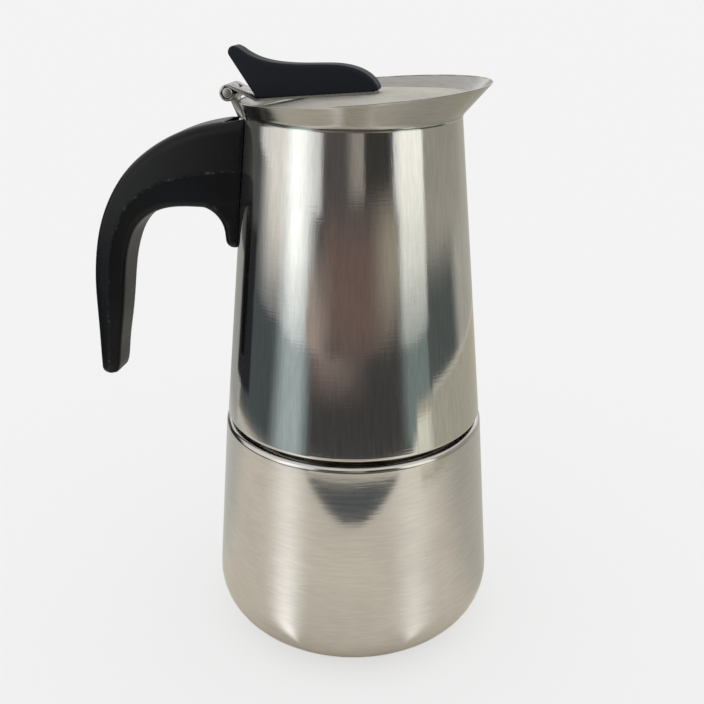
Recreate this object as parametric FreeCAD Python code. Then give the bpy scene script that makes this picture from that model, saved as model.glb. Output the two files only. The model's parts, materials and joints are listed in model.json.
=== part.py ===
import FreeCAD, Part
import math
import os

# Stove-top coffee maker in stainless steel: a boiler, a coffee funnel, and a screw-on jug
# with a flared pouring collar, a hinged lid and a hooked handle.
# Millimetres. +Z is up, the spout points along +X and the handle along -X.
# The origin is the middle of the boiler's flat bottom.

V = FreeCAD.Vector
UP = V(0, 0, 1)
ACROSS = V(0, 1, 0)

# Boiler
boiler_foot_radius = 52.0       # where the straight wall would meet the table
boiler_corner = 18.0            # rounding of the bottom edge
boiler_wall = 0.9
shoulder_radius = 45.5
shoulder_height = 80.0
shoulder_round = 1.8
neck_radius = 38.0              # outside of the threaded neck
neck_height = 11.0
neck_root_round = 1.5

# Safety valve in the boiler's back wall
valve_height = 50.0
valve_hex = 12.0                # across the flats
valve_hex_length = 5.0
valve_nose_radius = 4.6
valve_nose_length = 3.0
valve_thread_radius = 4.0
valve_hole_clearance = 0.15
valve_washer_radius = 7.0
valve_washer_thickness = 1.6
valve_nut_length = 3.0
valve_bore_radius = 2.8
valve_seat_radius = 1.5
valve_seat_length = 1.5
valve_cap_thickness = 1.0
plunger_stem_radius = 0.9
plunger_head_length = 1.8
plunger_clearance = 0.15
valve_through = 30.0            # longer than the valve, for holes right through it
plunger_reach = 1.6             # stem showing outside the cap
spring_wire = 0.5
spring_turns = 5

# Coffee funnel
funnel_wall = 0.7
funnel_cup_radius = 34.8        # inside
funnel_cup_depth = 26.0
funnel_cone_depth = 11.0
funnel_flange_overlap = 0.7     # how far the flange lies on the neck's rim
spigot_radius = 4.0             # inside
spigot_length = 5.0
stem_wall = 0.7
stem_bottom_gap = 5.0           # from the tube's end to the boiler's floor
sieve_thickness = 0.6
hole_radius = 0.75
hole_pitch = 5.5
sieve_margin = 3.0              # plain rim of a perforated disc
funnel_rim_round = 0.84         # inside of the bend into the flange
funnel_bend_round = 1.4         # inside of the bends into the cone and the spigot

# Jug
jug_gap = 1.6                   # shadow gap between boiler and jug
jug_foot_radius = 45.0
jug_mouth_radius = 34.9
jug_height = 103.6
jug_wall_thickness = 0.7
jug_hem = 1.5
jug_hem_round = 1.2
base_sheet = 0.9
base_setback = 1.0              # the base's flange above the jug's foot
thread_clearance = 0.3
chamber_height = 3.0
land_width = 5.0                # ring that presses the gasket down
base_round = 1.0                # bends of the base's sheet, on its underside
land_round = 0.4                # bend at the top of the thread ring
floor_round = 1.2               # bend into the jug's floor
gasket_thickness = 3.5
gasket_width = 7.0
gasket_round = 0.6
seal_clearance = 0.15
filter_thickness = 0.6
filter_grip = 3.0               # how far the gasket holds the filter plate
column_base_radius = 9.0
column_top_radius = 6.5
column_height = 62.0
column_wall = 0.8
cap_overlap = 6.0
cap_rise = 7.0
cap_round = 4.0
cap_window_width = 7.0
cap_window_height = 3.5
weld_gap = 0.05

# Pouring collar: a tilted oblique cone on the jug's mouth
collar_wall = 0.8
rim_radius = 40.5
rim_shift = 3.7                 # towards the spout
rim_rise = 7.2                  # middle of the rim above the mouth
rim_tilt = 4.5                  # degrees, spout end up

# Lid
lid_sheet = 0.7
lid_pad_radius = 17.0           # flat middle that carries the knob
lid_sink = 1.2                  # flat middle below the rim's plane
lid_drop = 2.5                  # edge below the flat middle
lid_lip = 0.8                   # turned-down edge
lid_bend = 12.0
lid_lip_round = 0.6
lid_gap = 0.55                  # between the lid's edge and the collar
lid_nudge = 1.0                 # the lid lies a little towards the spout

# Hinge
pin_radius = 1.8
pin_clearance = 0.05
pin_head = 0.4                  # pin end proud of the knuckles
hinge_back = 3.8                # axis behind the rim
hinge_up = 1.7                  # axis above the rim
strap_sheet = 0.8
strap_width = 11.0
strap_tail_width = 7.6          # under the knob
strap_taper = 13.0              # from the strap's bend to where it is that narrow
strap_slope = 25.5              # degrees below level, between knuckle and lid
strap_bend_round = 1.5
strap_setback = 1.0             # the strap's end behind the knob's front
strap_wrap = 290.0              # degrees that the strap is rolled round the pin
knuckle_width = 4.8             # the bracket's loop, between the strap's two knuckles
knuckle_gap = 0.25
loop_sheet = 0.8

# Knob
knob_width = 8.6
knob_front = 5.9                # from the lid's middle towards the spout
knob_heel = 33.9                # from the lid's middle towards the hinge
knob_height = 9.3               # at the low of the wave
horn_reach = 41.6
horn_height = 16.8
horn_round = 1.8
knob_edge_round = 1.2
# The knob's wave runs from the foot of its nose up to the low and on to the horn
nose_height = 1.2               # upright start of the nose
nose_run = 2.0                  # from the front to the nose's steep part
nose_rise = 4.2
brow_run = 8.6                  # from the front to the nose's rounded top
brow_rise = 7.9
wave_low = 13.5                 # from the lid's middle to the low of the wave
neck_back = 17.5                # the horn's neck, from the horn's end
neck_rise = 0.9                 # the horn's neck above the low
nape_back = 10.0                # where the neck turns up into the horn, from its end
nape_drop = 4.8                 # below the horn's top
horn_top_back = 3.75            # where the wave meets the horn's top, from its end
horn_top_drop = 1.1
horn_edge = 1.05                # the horn's upper corner, from its end
horn_crest = 0.42               # its corners stand out by this much before they are rounded
horn_end_drop = 2.2             # the horn's blunt end
knob_screw_front = 3.4          # the two screws, from the lid's middle towards the hinge
knob_screw_back = 13.2
knob_screw_radius = 1.5
knob_screw_depth = 5.5
knob_screw_head_radius = 2.8
knob_screw_head = 1.4
knob_screw_end_gap = 1.0        # the screw ends short of its hole
screw_clearance = 0.2
thread_fit = 0.03               # between a screw and the hole that it is cut into

# Handle and its bracket
handle_below_mouth = 1.8        # top of the handle, where it meets the jug, below the mouth
handle_slope = 0.11             # fall of the top as it leaves the jug
handle_reach = 58.5             # from the jug to the outside of the grip
handle_drop = 66.5              # from the top to the start of the straight grip
handle_top_pull = 47.0          # how far the top's line carries into the bend
handle_grip_pull = 30.0         # how far the grip's line carries into the bend
handle_depth = 29.9             # top to arch, where the handle meets the jug
arch_start = 19.0               # from the jug to where the arch bends down
arch_reach = 47.9               # from the jug to the inside of the grip
arch_drop = 38.5                # from the arch to the start of the straight grip
arch_top_pull = 26.0
arch_grip_pull = 21.0
arch_lean = 0.155               # the grip's inner face leans out towards its tip
handle_grip = 26.0              # straight grip
handle_lean = 0.02              # the grip's outer face leans out towards its tip
handle_tip = 6.7                # grip depth at the tip
handle_half_width = 10.0
tip_half_width = 6.8
handle_draft = 1.3              # sides fall back from the parting ridge
ridge_share = 0.45              # of the section's height, where the ridge runs
handle_top_round = 4.0
handle_under_round = 2.4
top_round_limit = 0.4           # most of a thin section's height that a rounding takes
under_round_limit = 0.3
tip_round = 2.2
nib_drop = 13.5                 # lowest point of the lug on the jug, below the arch
nib_thickness = 3.4             # at its end
lug_root_thickness = 5.8        # under the arch
nib_round = 2.8
lug_root_round = 9.5
lug_blend = 0.3                 # the lug's root runs out this far inside the arch
lug_overlap = 7.5               # the lug runs up this far inside the handle
lug_run_out = 11.4              # and this far along the arch
nib_inset = 1.2                 # the lug is this much narrower on each side
handle_wall_gap = 0.15
plate_sheet = 1.6
plate_width = 12.0
plate_below_mouth = 2.0
plate_length = 38.0
plate_depth = 3.0               # the plate is drawn this far into the wall, then cut to it
arm_sheet = 2.2                 # the arm is the loop's two ends laid together
arm_below_mouth = 2.6
arm_stand_off = 1.6             # middle of the arm's foot, out from the jug
tang_thickness = 3.0
tang_width = 9.0
tang_length = 25.0
tang_below_top = 16.6
pocket_clearance = 0.3
notch_length = 7.0
notch_depth = 12.6
handle_screw_radius = 2.0
handle_screw_reach = 17.0       # from the jug's wall
handle_screw_head_radius = 3.6
handle_screw_head = 2.4
handle_screw_recess = 2.0
handle_screw_past_tang = 3.0
handle_screw_end_gap = 1.5      # room beyond the screw's end

# Drawing
cut_allowance = 1.0             # a cutter runs this far past the face that it cuts
touch = 0.01                    # closer than this counts as the same place


# Levels and fits that follow from the sizes above
neck_top = shoulder_height + neck_height
flange_top = neck_top + funnel_wall
land_level = flange_top + gasket_thickness
ring_radius = neck_radius + thread_clearance
floor_level = land_level + chamber_height
jug_foot = shoulder_height + jug_gap
mouth_level = jug_foot + jug_height
jug_taper = (jug_foot_radius - jug_mouth_radius) / jug_height
tilt = math.radians(rim_tilt)
rim_level = mouth_level + rim_rise
column_top = floor_level + column_height
jug_wall_level = jug_wall_thickness * math.hypot(1, jug_taper)    # the sloping wall, measured level


def jug_outer_radius(level):
    """Outside radius of the jug's wall at a height."""
    return jug_mouth_radius + (mouth_level - level) * jug_taper


def flat(x, z):
    """A point of a side profile, in the plane that the spout and the handle share."""
    return V(x, 0, z)


def line(start, end):
    return Part.LineSegment(start, end).toShape()


def rounded_edges(points, closed=False):
    """Straight runs through (x, z, radius) points, each corner rounded to its radius."""
    count = len(points)
    ends = []
    for i, (x, z, radius) in enumerate(points):
        here = flat(x, z)
        if radius <= 0 or (not closed and i in (0, count - 1)):
            ends.append((here, None, here))
            continue
        back = (flat(*points[i - 1][:2]) - here).normalize()
        ahead = (flat(*points[(i + 1) % count][:2]) - here).normalize()
        half = math.acos(max(-1.0, min(1.0, back.dot(ahead)))) / 2
        inward = (back + ahead).normalize()
        reach = radius / math.tan(half)
        middle = here + inward * (radius / math.sin(half) - radius)
        ends.append((here + back * reach, middle, here + ahead * reach))
    edges = []
    for i, (start, middle, end) in enumerate(ends):
        if middle is not None:
            edges.append(Part.Arc(start, middle, end).toShape())
        if i < count - 1 or closed:
            edges.append(line(end, ends[(i + 1) % count][0]))
    return edges


def offset_points(points, distance):
    """The same run of points moved sideways, to the left of the way it runs."""
    runs = []
    for a, b in zip(points, points[1:]):
        runs.append((flat(*b[:2]) - flat(*a[:2])).normalize())
    moved = []
    for i, (x, z, radius) in enumerate(points):
        before = runs[max(i - 1, 0)]
        after = runs[min(i, len(runs) - 1)]
        left_before = flat(-before.z, before.x)
        left_after = flat(-after.z, after.x)
        shift = (left_before + left_after) * (distance / (1 + left_before.dot(left_after)))
        turn = before.x * after.z - before.z * after.x
        if radius > 0:
            radius = radius - distance if turn > 0 else radius + distance
        moved.append((x + shift.x, z + shift.z, max(radius, 0)))
    return moved


def sheet_face(points, thickness):
    """Section of a bent sheet: one skin through the points, the other to its left."""
    skin = rounded_edges(points)
    other = rounded_edges(offset_points(points, thickness)[::-1])
    joints = []
    for first, second in ((skin, other), (other, skin)):
        joints.append(line(first[-1].lastVertex(True).Point, second[0].firstVertex(True).Point))
    return Part.Face(Part.Wire(skin + joints[:1] + other + joints[1:]))


def revolve(face):
    return face.revolve(V(0, 0, 0), UP, 360)


def spin(points):
    """Solid of revolution from a closed outline of (radius, height, rounding) points."""
    return revolve(Part.Face(Part.Wire(rounded_edges(points, closed=True))))


def slab(face, width):
    """A side profile made solid, half of its width on each side of the middle plane."""
    placed = face.translated(ACROSS * (-width / 2))
    return placed.extrude(ACROSS * width)


def block(x, y, z):
    """A box from three (low, high) pairs."""
    box = Part.makeBox(x[1] - x[0], y[1] - y[0], z[1] - z[0])
    return box.translated(V(x[0], y[0], z[0]))


def perforated_disc(radius, thickness, level):
    """A thin disc with a triangular grid of holes inside a plain rim."""
    wires = [Part.Wire(Part.Circle(V(0, 0, level), UP, radius).toShape())]
    row_pitch = hole_pitch * math.sqrt(3) / 2
    rows = int(radius / row_pitch) + 1
    for row in range(-rows, rows + 1):
        for step in range(-rows - 1, rows + 2):
            x = (step + 0.5 * (row % 2)) * hole_pitch
            y = row * row_pitch
            if math.hypot(x, y) < radius - sieve_margin - hole_radius:
                wires.append(Part.Wire(Part.Circle(V(x, y, level), UP, hole_radius).toShape()))
    return Part.Face(wires, "Part::FaceMakerBullseye").extrude(UP * thickness)


# Boiler

def boiler_skin():
    """Outside of the boiler, from the middle of its bottom to the rim of its neck."""
    return [
        (0, 0, 0),
        (boiler_foot_radius, 0, boiler_corner),
        (shoulder_radius, shoulder_height, shoulder_round),
        (neck_radius, shoulder_height, neck_root_round),
        (neck_radius, neck_top, 0),
    ]


def filled(points):
    """Everything inside a skin of revolution that starts on the axis."""
    edges = rounded_edges(points)
    top = points[-1][1]
    edges.append(line(flat(points[-1][0], top), flat(0, top)))
    edges.append(line(flat(0, top), flat(0, points[0][1])))
    return revolve(Part.Face(Part.Wire(edges)))


def boiler_shell():
    shell = revolve(sheet_face(boiler_skin(), boiler_wall))
    return shell.cut(valve_rod(valve_thread_radius + valve_hole_clearance, -valve_through, valve_through))


# Safety valve. Its axis stands square to the sloping wall, at the back of the boiler.

wall_slope = math.atan2(boiler_foot_radius - shoulder_radius, shoulder_height)
valve_axis = V(0, math.cos(wall_slope), math.sin(wall_slope))
valve_base = V(0, boiler_foot_radius - valve_height * math.tan(wall_slope), valve_height)
valve_face = valve_washer_thickness - 0.5 * valve_washer_radius ** 2 / shoulder_radius
valve_hex_end = valve_face + valve_hex_length
valve_nose_end = valve_hex_end + valve_nose_length
valve_inner_end = -boiler_wall - valve_washer_thickness - valve_nut_length
plunger_seat = valve_inner_end + valve_seat_length


def valve_rod(radius, start, end):
    """A cylinder on the valve's axis, between two distances from the boiler's wall."""
    return Part.makeCylinder(radius, end - start, valve_base + valve_axis * start, valve_axis)


def valve_hexagon(across, start, end):
    corner = across / math.sqrt(3)
    points = []
    for i in range(7):
        turn = math.radians(60 * i)
        points.append(V(corner * math.cos(turn), corner * math.sin(turn), 0))
    prism = Part.Face(Part.makePolygon(points)).extrude(UP * (end - start))
    prism.Placement = FreeCAD.Placement(
        valve_base + valve_axis * start, FreeCAD.Rotation(UP, valve_axis))
    return prism


def valve_body():
    body = valve_hexagon(valve_hex, valve_face, valve_hex_end)
    body = body.fuse(valve_rod(valve_nose_radius, valve_hex_end, valve_nose_end))
    body = body.fuse(valve_rod(valve_thread_radius, valve_inner_end, valve_face))
    body = body.cut(valve_rod(valve_bore_radius, plunger_seat, valve_nose_end + cut_allowance))
    body = body.cut(valve_rod(valve_seat_radius, valve_inner_end - cut_allowance, plunger_seat))
    return body.removeSplitter()


def valve_outer_washer():
    ring = valve_rod(valve_washer_radius, -valve_washer_thickness, valve_face)
    ring = ring.cut(valve_rod(valve_thread_radius + valve_hole_clearance, -valve_through, valve_through))
    return ring.cut(filled(boiler_skin()))


def valve_inner_washer():
    ring = valve_rod(valve_washer_radius, -boiler_wall - valve_washer_thickness, 0)
    ring = ring.cut(valve_rod(valve_thread_radius + valve_hole_clearance, -valve_through, valve_through))
    return ring.common(filled(offset_points(boiler_skin(), boiler_wall)))


def valve_nut():
    start = -boiler_wall - valve_washer_thickness - valve_nut_length
    nut = valve_hexagon(valve_hex, start, start + valve_nut_length)
    return nut.cut(valve_rod(valve_thread_radius + thread_fit, -valve_through, valve_through))


def valve_cap():
    """Ring pressed into the valve's mouth, which the spring pushes against."""
    cap = valve_rod(valve_bore_radius - thread_fit, valve_nose_end - valve_cap_thickness, valve_nose_end)
    return cap.cut(valve_rod(plunger_stem_radius + plunger_clearance, -valve_through, valve_through))


def valve_plunger():
    head = valve_rod(valve_bore_radius - plunger_clearance, plunger_seat, plunger_seat + plunger_head_length)
    stem = valve_rod(plunger_stem_radius, plunger_seat, valve_nose_end + plunger_reach)
    return head.fuse(stem).removeSplitter()


def biarc(start, heading, end, leaving):
    """Two tangent arcs from one point and direction to another."""
    gap = end - start
    both = heading + leaving
    spread = 2 * (1 - heading.dot(leaving))
    along = gap.dot(both)
    reach = (math.sqrt(along * along + spread * gap.dot(gap)) - along) / spread
    joint = (start + end + (heading - leaving) * reach) * 0.5
    arcs = []
    for a, b, apex in ((start, joint, start + heading * reach), (joint, end, end - leaving * reach)):
        chord = b - a
        rise = apex - (a + b) * 0.5
        half = math.atan2(rise.Length, chord.Length / 2)
        middle = (a + b) * 0.5 + rise.normalize() * (chord.Length / 2 * math.tan(half / 2))
        arcs.append(Part.Arc(a, middle, b).toShape())
    return arcs


def valve_spring():
    """Compression spring round the plunger's stem, between its head and the cap."""
    radius = (valve_bore_radius + plunger_stem_radius) / 2
    low = plunger_seat + plunger_head_length + spring_wire / 2 + plunger_clearance
    high = valve_nose_end - valve_cap_thickness - spring_wire / 2 - plunger_clearance
    pitch = (high - low) / spring_turns
    quarters = 4 * spring_turns

    def place(quarter):
        turn = quarter * math.pi / 2
        return V(radius * math.cos(turn), radius * math.sin(turn), low + pitch * quarter / 4)

    def heading(quarter):
        turn = quarter * math.pi / 2
        rise = pitch / (2 * math.pi)
        return V(-radius * math.sin(turn), radius * math.cos(turn), rise).normalize()

    path = []
    for quarter in range(quarters):
        path += biarc(place(quarter), heading(quarter), place(quarter + 1), heading(quarter + 1))
    section = Part.Wire(Part.Circle(place(0), heading(0), spring_wire / 2).toShape())
    spring = Part.Wire(path).makePipeShell([section], True, False)
    print("spring gap between turns", round(pitch - spring_wire, 3))
    spring.Placement = FreeCAD.Placement(valve_base, FreeCAD.Rotation(UP, valve_axis))
    return spring


# Coffee funnel

cup_bottom = neck_top - funnel_cup_depth
cone_bottom = cup_bottom - funnel_cone_depth
stem_bore = spigot_radius + funnel_wall + weld_gap


def funnel_cup():
    inside = [
        (neck_radius - boiler_wall + funnel_flange_overlap, flange_top, 0),
        (funnel_cup_radius, flange_top, funnel_rim_round),
        (funnel_cup_radius, cup_bottom, funnel_bend_round),
        (spigot_radius, cone_bottom, funnel_bend_round),
        (spigot_radius, cone_bottom - spigot_length, 0),
    ]
    return revolve(sheet_face(inside, funnel_wall))


def funnel_stem():
    low = boiler_wall + stem_bottom_gap
    high = cone_bottom - funnel_bend_round
    tube = [
        (stem_bore, low, 0),
        (stem_bore + stem_wall, low, 0),
        (stem_bore + stem_wall, high, 0),
        (stem_bore, high, 0),
    ]
    return spin(tube)


def funnel_sieve():
    level = cup_bottom + funnel_bend_round
    return perforated_disc(funnel_cup_radius - seal_clearance, sieve_thickness, level)


# Seal between funnel and jug

gasket_outer = ring_radius - seal_clearance
gasket_inner = gasket_outer - gasket_width
filter_radius = gasket_inner + filter_grip


def gasket():
    step = land_level - filter_thickness - seal_clearance
    section = [
        (gasket_inner, flange_top, 0),
        (gasket_outer, flange_top, gasket_round),
        (gasket_outer, land_level, gasket_round),
        (filter_radius + seal_clearance, land_level, 0),
        (filter_radius + seal_clearance, step, 0),
        (gasket_inner, step, 0),
    ]
    return spin(section)


def filter_plate():
    return perforated_disc(filter_radius, filter_thickness, land_level - filter_thickness)


# Jug

def jug_skin():
    return [
        (jug_foot_radius - jug_hem, jug_foot, 0),
        (jug_foot_radius, jug_foot, jug_hem_round),
        (jug_mouth_radius, mouth_level, 0),
    ]


def jug_wall():
    return revolve(sheet_face(jug_skin(), jug_wall_thickness))


def jug_outside(extra=0.0):
    """Everything inside the jug's outer cone, let out by a little."""
    height = jug_height + rim_rise
    low = jug_foot_radius + extra
    high = jug_outer_radius(jug_foot + height) + extra
    return Part.makeCone(low, high, height, V(0, 0, jug_foot), UP)


def jug_base():
    """Pressed floor with the female thread ring; underside first, sheet above it."""
    flange = jug_foot + base_setback
    reach = jug_outer_radius(flange + base_sheet) - jug_wall_level - weld_gap
    inner = ring_radius - land_width
    under = [
        (reach, flange, 0),
        (ring_radius, flange, base_round),
        (ring_radius, land_level, land_round),
        (inner, land_level, base_round),
        (inner, floor_level, floor_round),
        (column_base_radius + weld_gap, floor_level, 0),
    ]
    return revolve(sheet_face(under, -base_sheet))


def coffee_column():
    skin = [(column_base_radius, floor_level, 0), (column_top_radius, column_top, 0)]
    return revolve(sheet_face(skin, column_wall))


def column_cap():
    radius = column_top_radius + cap_overlap / column_height * (column_base_radius - column_top_radius)
    radius = radius + seal_clearance + column_wall
    top = column_top + cap_rise
    skin = [
        (radius, column_top - cap_overlap, 0),
        (radius, top, cap_round),
        (0, top, 0),
    ]
    cap = revolve(sheet_face(skin, column_wall))
    low = column_top + column_wall
    half = cap_window_width / 2
    window = block((-2 * radius, 2 * radius), (-half, half), (low, low + cap_window_height))
    return cap.cut(window)


# Pouring collar

def rim_place(shape):
    """Moves a shape drawn round the origin onto the rim's tilted plane."""
    turn = FreeCAD.Rotation(ACROSS, -rim_tilt)
    moved = shape.copy()
    moved.Placement = FreeCAD.Placement(V(rim_shift, 0, rim_level), turn).multiply(moved.Placement)
    return moved


def collar_cone(inset):
    """Solid between the mouth and the rim, both circles drawn in by the same amount."""
    mouth = Part.Circle(V(0, 0, mouth_level), UP, jug_mouth_radius - inset).toShape()
    rim = rim_place(Part.Circle(V(0, 0, 0), UP, rim_radius - inset).toShape())
    return Part.makeLoft([Part.Wire(mouth), Part.Wire(rim)], True, True)


def pouring_collar():
    return collar_cone(0).cut(collar_cone(collar_wall))


# Lid. It is drawn level, with the top of its flat middle at the origin.

lid_share = 1 - (lid_sink + lid_drop + lid_lip) / rim_rise
lid_radius = jug_mouth_radius + lid_share * (rim_radius - jug_mouth_radius) - collar_wall - lid_gap
lid_shift = rim_shift * lid_share + lid_nudge


def lid_place(shape):
    """Moves a level shape onto the closed lid."""
    turn = FreeCAD.Rotation(ACROSS, -rim_tilt)
    down = V((lid_shift - rim_shift) / math.cos(tilt), 0, -lid_sink)
    moved = shape.copy()
    seat = FreeCAD.Placement(V(rim_shift, 0, rim_level) + turn.multVec(down), turn)
    moved.Placement = seat.multiply(moved.Placement)
    return moved


def lid_point(u, v):
    """A point of the lid's own side view, in the frame of the whole object."""
    return lid_place(Part.Vertex(V(u, 0, v))).Point


def knob_screw_places():
    return (-knob_screw_back, -knob_screw_front)


def lid():
    top = [
        (0, 0, 0),
        (lid_pad_radius, 0, lid_bend),
        (lid_radius, -lid_drop, lid_lip_round),
        (lid_radius, -lid_drop - lid_lip, 0),
    ]
    disc = revolve(sheet_face(top, -lid_sheet))
    for place in knob_screw_places():
        hole = Part.makeCylinder(
            knob_screw_radius + screw_clearance, lid_sheet + 2 * cut_allowance,
            V(place, 0, -lid_sheet - cut_allowance))
        disc = disc.cut(hole)
    return lid_place(disc)


# Hinge: the lid's strap rolls round the pin on both sides of the bracket's loop

hinge_axis = V(
    rim_shift - rim_radius * math.cos(tilt) - hinge_back, 0,
    rim_level - rim_radius * math.sin(tilt) + hinge_up)
roll_inner = pin_radius + pin_clearance


def hinge_point(radius, degrees):
    turn = math.radians(degrees)
    return hinge_axis + flat(radius * math.cos(turn), radius * math.sin(turn))


def hinge_arc(radius, start, end):
    points = [hinge_point(radius, a) for a in (start, (start + end) / 2, end)]
    return Part.Arc(*points).toShape()


def hinge_pin():
    length = strap_width + 2 * pin_head
    pin = Part.makeCylinder(pin_radius, length, hinge_axis - ACROSS * (length / 2), ACROSS)
    return pin.makeChamfer(pin_head, [e for e in pin.Edges if isinstance(e.Curve, Part.Circle)])


def strap_path():
    """Top of the strap: where it leaves its roll, where it bends and where it ends."""
    start = hinge_point(roll_inner + strap_sheet, 90 - strap_slope)
    slope = math.radians(-strap_slope)
    knob_end = lid_point(knob_front - strap_setback, strap_sheet)
    level = flat(math.cos(tilt), math.sin(tilt))
    across = (knob_end.x - start.x) * level.z - (knob_end.z - start.z) * level.x
    run = across / (math.cos(slope) * level.z - math.sin(slope) * level.x)
    bend = start + flat(math.cos(slope), math.sin(slope)) * run
    return start, bend, knob_end


def lid_strap():
    """Strip from under the knob to the hinge, its end rolled round the pin."""
    start, bend, knob_end = strap_path()
    leave = 90 - strap_slope
    roll_outer = roll_inner + strap_sheet
    top = [
        (start.x, start.z, 0),
        (bend.x, bend.z, strap_bend_round),
        (knob_end.x, knob_end.z, 0),
    ]
    under = offset_points(top, -strap_sheet)
    stop = leave + strap_wrap
    edges = rounded_edges(top)
    edges.append(line(knob_end, flat(*under[-1][:2])))
    edges += rounded_edges(under[::-1])
    edges.append(hinge_arc(roll_inner, leave, stop))
    edges.append(line(hinge_point(roll_inner, stop), hinge_point(roll_outer, stop)))
    edges.append(hinge_arc(roll_outer, leave, stop))
    strap = slab(Part.Face(Part.Wire(Part.__sortEdges__(edges))), strap_width)
    half = knuckle_width / 2 + knuckle_gap
    reach = roll_outer + 2 * knuckle_gap
    room = block((-2 * reach, reach), (-half, half), (-2 * reach, 2 * reach))
    strap = strap.cut(room.translated(hinge_axis))
    edge, tail = strap_width / 2, strap_tail_width / 2
    past = knob_end.x + cut_allowance
    beside = [
        (bend.x, edge), (bend.x + strap_taper, tail), (past, tail),
        (past, edge + cut_allowance), (bend.x, edge + cut_allowance),
    ]
    for side in (-1, 1):
        outline = [V(x, side * y, bend.z - strap_width) for x, y in beside]
        waste = Part.Face(Part.makePolygon(outline + outline[:1]))
        strap = strap.cut(waste.extrude(UP * (2 * strap_width)))
    for place in knob_screw_places():
        hole = Part.makeCylinder(
            knob_screw_radius + screw_clearance, strap_sheet + 2 * cut_allowance,
            V(place, 0, -cut_allowance))
        strap = strap.cut(lid_place(hole))
    return strap


# Knob on the lid

def lid_knob():
    """Wave-shaped fin with a thumb horn over the hinge."""
    horn_root = flat(horn_top_back - horn_reach, horn_height - horn_top_drop)
    wave = Part.BSplineCurve()
    wave.interpolate([
        flat(knob_front, nose_height),
        flat(knob_front - nose_run, nose_rise),
        flat(knob_front - brow_run, brow_rise),
        flat(-wave_low, knob_height),
        flat(neck_back - horn_reach, knob_height + neck_rise),
        flat(nape_back - horn_reach, horn_height - nape_drop),
        horn_root,
    ])
    back = [
        (horn_root.x, horn_root.z, 0),
        (horn_edge - horn_reach, horn_height + horn_crest, horn_round),
        (-horn_reach - horn_crest, horn_height - horn_end_drop, horn_round),
        (-knob_heel, 0, 0),
        (knob_front, 0, 0),
        (knob_front, nose_height, 0),
    ]
    face = Part.Face(Part.Wire([wave.toShape()] + rounded_edges(back)))
    knob = slab(face, knob_width)
    sides = []
    for edge in knob.Edges:
        middle = edge.CenterOfMass
        if abs(middle.y) > knob_width / 2 - touch and middle.z > touch:
            sides.append(edge)
    knob = knob.makeFillet(knob_edge_round, sides)
    for place in knob_screw_places():
        hole = Part.makeCylinder(knob_screw_radius + thread_fit, knob_screw_depth, V(place, 0, 0))
        knob = knob.cut(hole)
    start, bend, _ = strap_path()
    drop = UP * -knob_height
    under = Part.Face(Part.makePolygon([start, bend, bend + drop, start + drop, start]))
    knob = lid_place(knob.translated(UP * (strap_sheet + weld_gap)))
    return knob.cut([lid_strap(), slab(under, strap_width)])


def knob_screws():
    screws = []
    for place in knob_screw_places():
        length = lid_sheet + strap_sheet + knob_screw_depth - knob_screw_end_gap
        shank = Part.makeCylinder(knob_screw_radius, length, V(place, 0, -lid_sheet))
        head = Part.makeCylinder(
            knob_screw_head_radius, knob_screw_head, V(place, 0, -lid_sheet - knob_screw_head))
        lower = [e for e in head.Edges if e.CenterOfMass.z < -lid_sheet - knob_screw_head + touch]
        head = head.makeFillet(knob_screw_head / 2, lower)
        screws.append(lid_place(shank.fuse(head).removeSplitter()))
    return Part.makeCompound(screws)


# Handle bracket: a loop round the hinge pin, a plate welded to the jug and a tang for the handle

handle_top = mouth_level - handle_below_mouth
handle_wall = -jug_outer_radius(handle_top)
tang_level = handle_top - tang_below_top


def wall_x(level, out=0.0):
    """Where the jug's wall is at the handle's side, moved out by a little."""
    return -jug_outer_radius(level) - out


def handle_bracket():
    elbow_level = mouth_level - arm_below_mouth
    elbow = flat(wall_x(elbow_level, arm_stand_off), elbow_level)
    along = (elbow - hinge_axis).normalize()
    side = flat(-along.z, along.x) * (arm_sheet / 2)
    start = hinge_axis + along * (roll_inner + loop_sheet / 2)
    arm = Part.makePolygon([start + side, elbow + side, elbow - side, start - side, start + side])
    ring = Part.Face([
        Part.Wire(Part.Circle(hinge_axis, ACROSS, roll_inner + loop_sheet).toShape()),
        Part.Wire(Part.Circle(hinge_axis, ACROSS, roll_inner).toShape()),
    ], "Part::FaceMakerBullseye")
    loop = slab(ring, knuckle_width).fuse(slab(Part.Face(arm), knuckle_width))
    loop = loop.cut(Part.makeCylinder(
        roll_inner, 2 * strap_width, hinge_axis - ACROSS * strap_width, ACROSS))
    top = mouth_level - plate_below_mouth
    low = top - plate_length
    plate = slab(Part.Face(Part.Wire(rounded_edges([
        (wall_x(top, plate_sheet), top, 0),
        (wall_x(top) + plate_depth, top, 0),
        (wall_x(low) + plate_depth, low, 0),
        (wall_x(low, plate_sheet), low, 0),
    ], closed=True))), plate_width)
    tang = block(
        (wall_x(handle_top, tang_length), wall_x(handle_top)),
        (-tang_width / 2, tang_width / 2),
        (tang_level - tang_thickness / 2, tang_level + tang_thickness / 2))
    bracket = loop.fuse([plate, tang]).cut(jug_outside())
    hole = Part.makeCylinder(
        handle_screw_radius + thread_fit, tang_thickness + 2 * cut_allowance,
        V(wall_x(handle_top, handle_screw_reach), 0, tang_level - tang_thickness / 2 - cut_allowance))
    return bracket.cut(hole).removeSplitter()


# Handle

def bezier(start, start_pull, end_pull, end, share):
    """A point on the curve between two ends, each with the pull that shapes it there."""
    rest = 1 - share
    return (start * rest ** 3 + (start + start_pull) * (3 * rest ** 2 * share)
            + (end + end_pull) * (3 * rest * share ** 2) + end * share ** 3)


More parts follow.
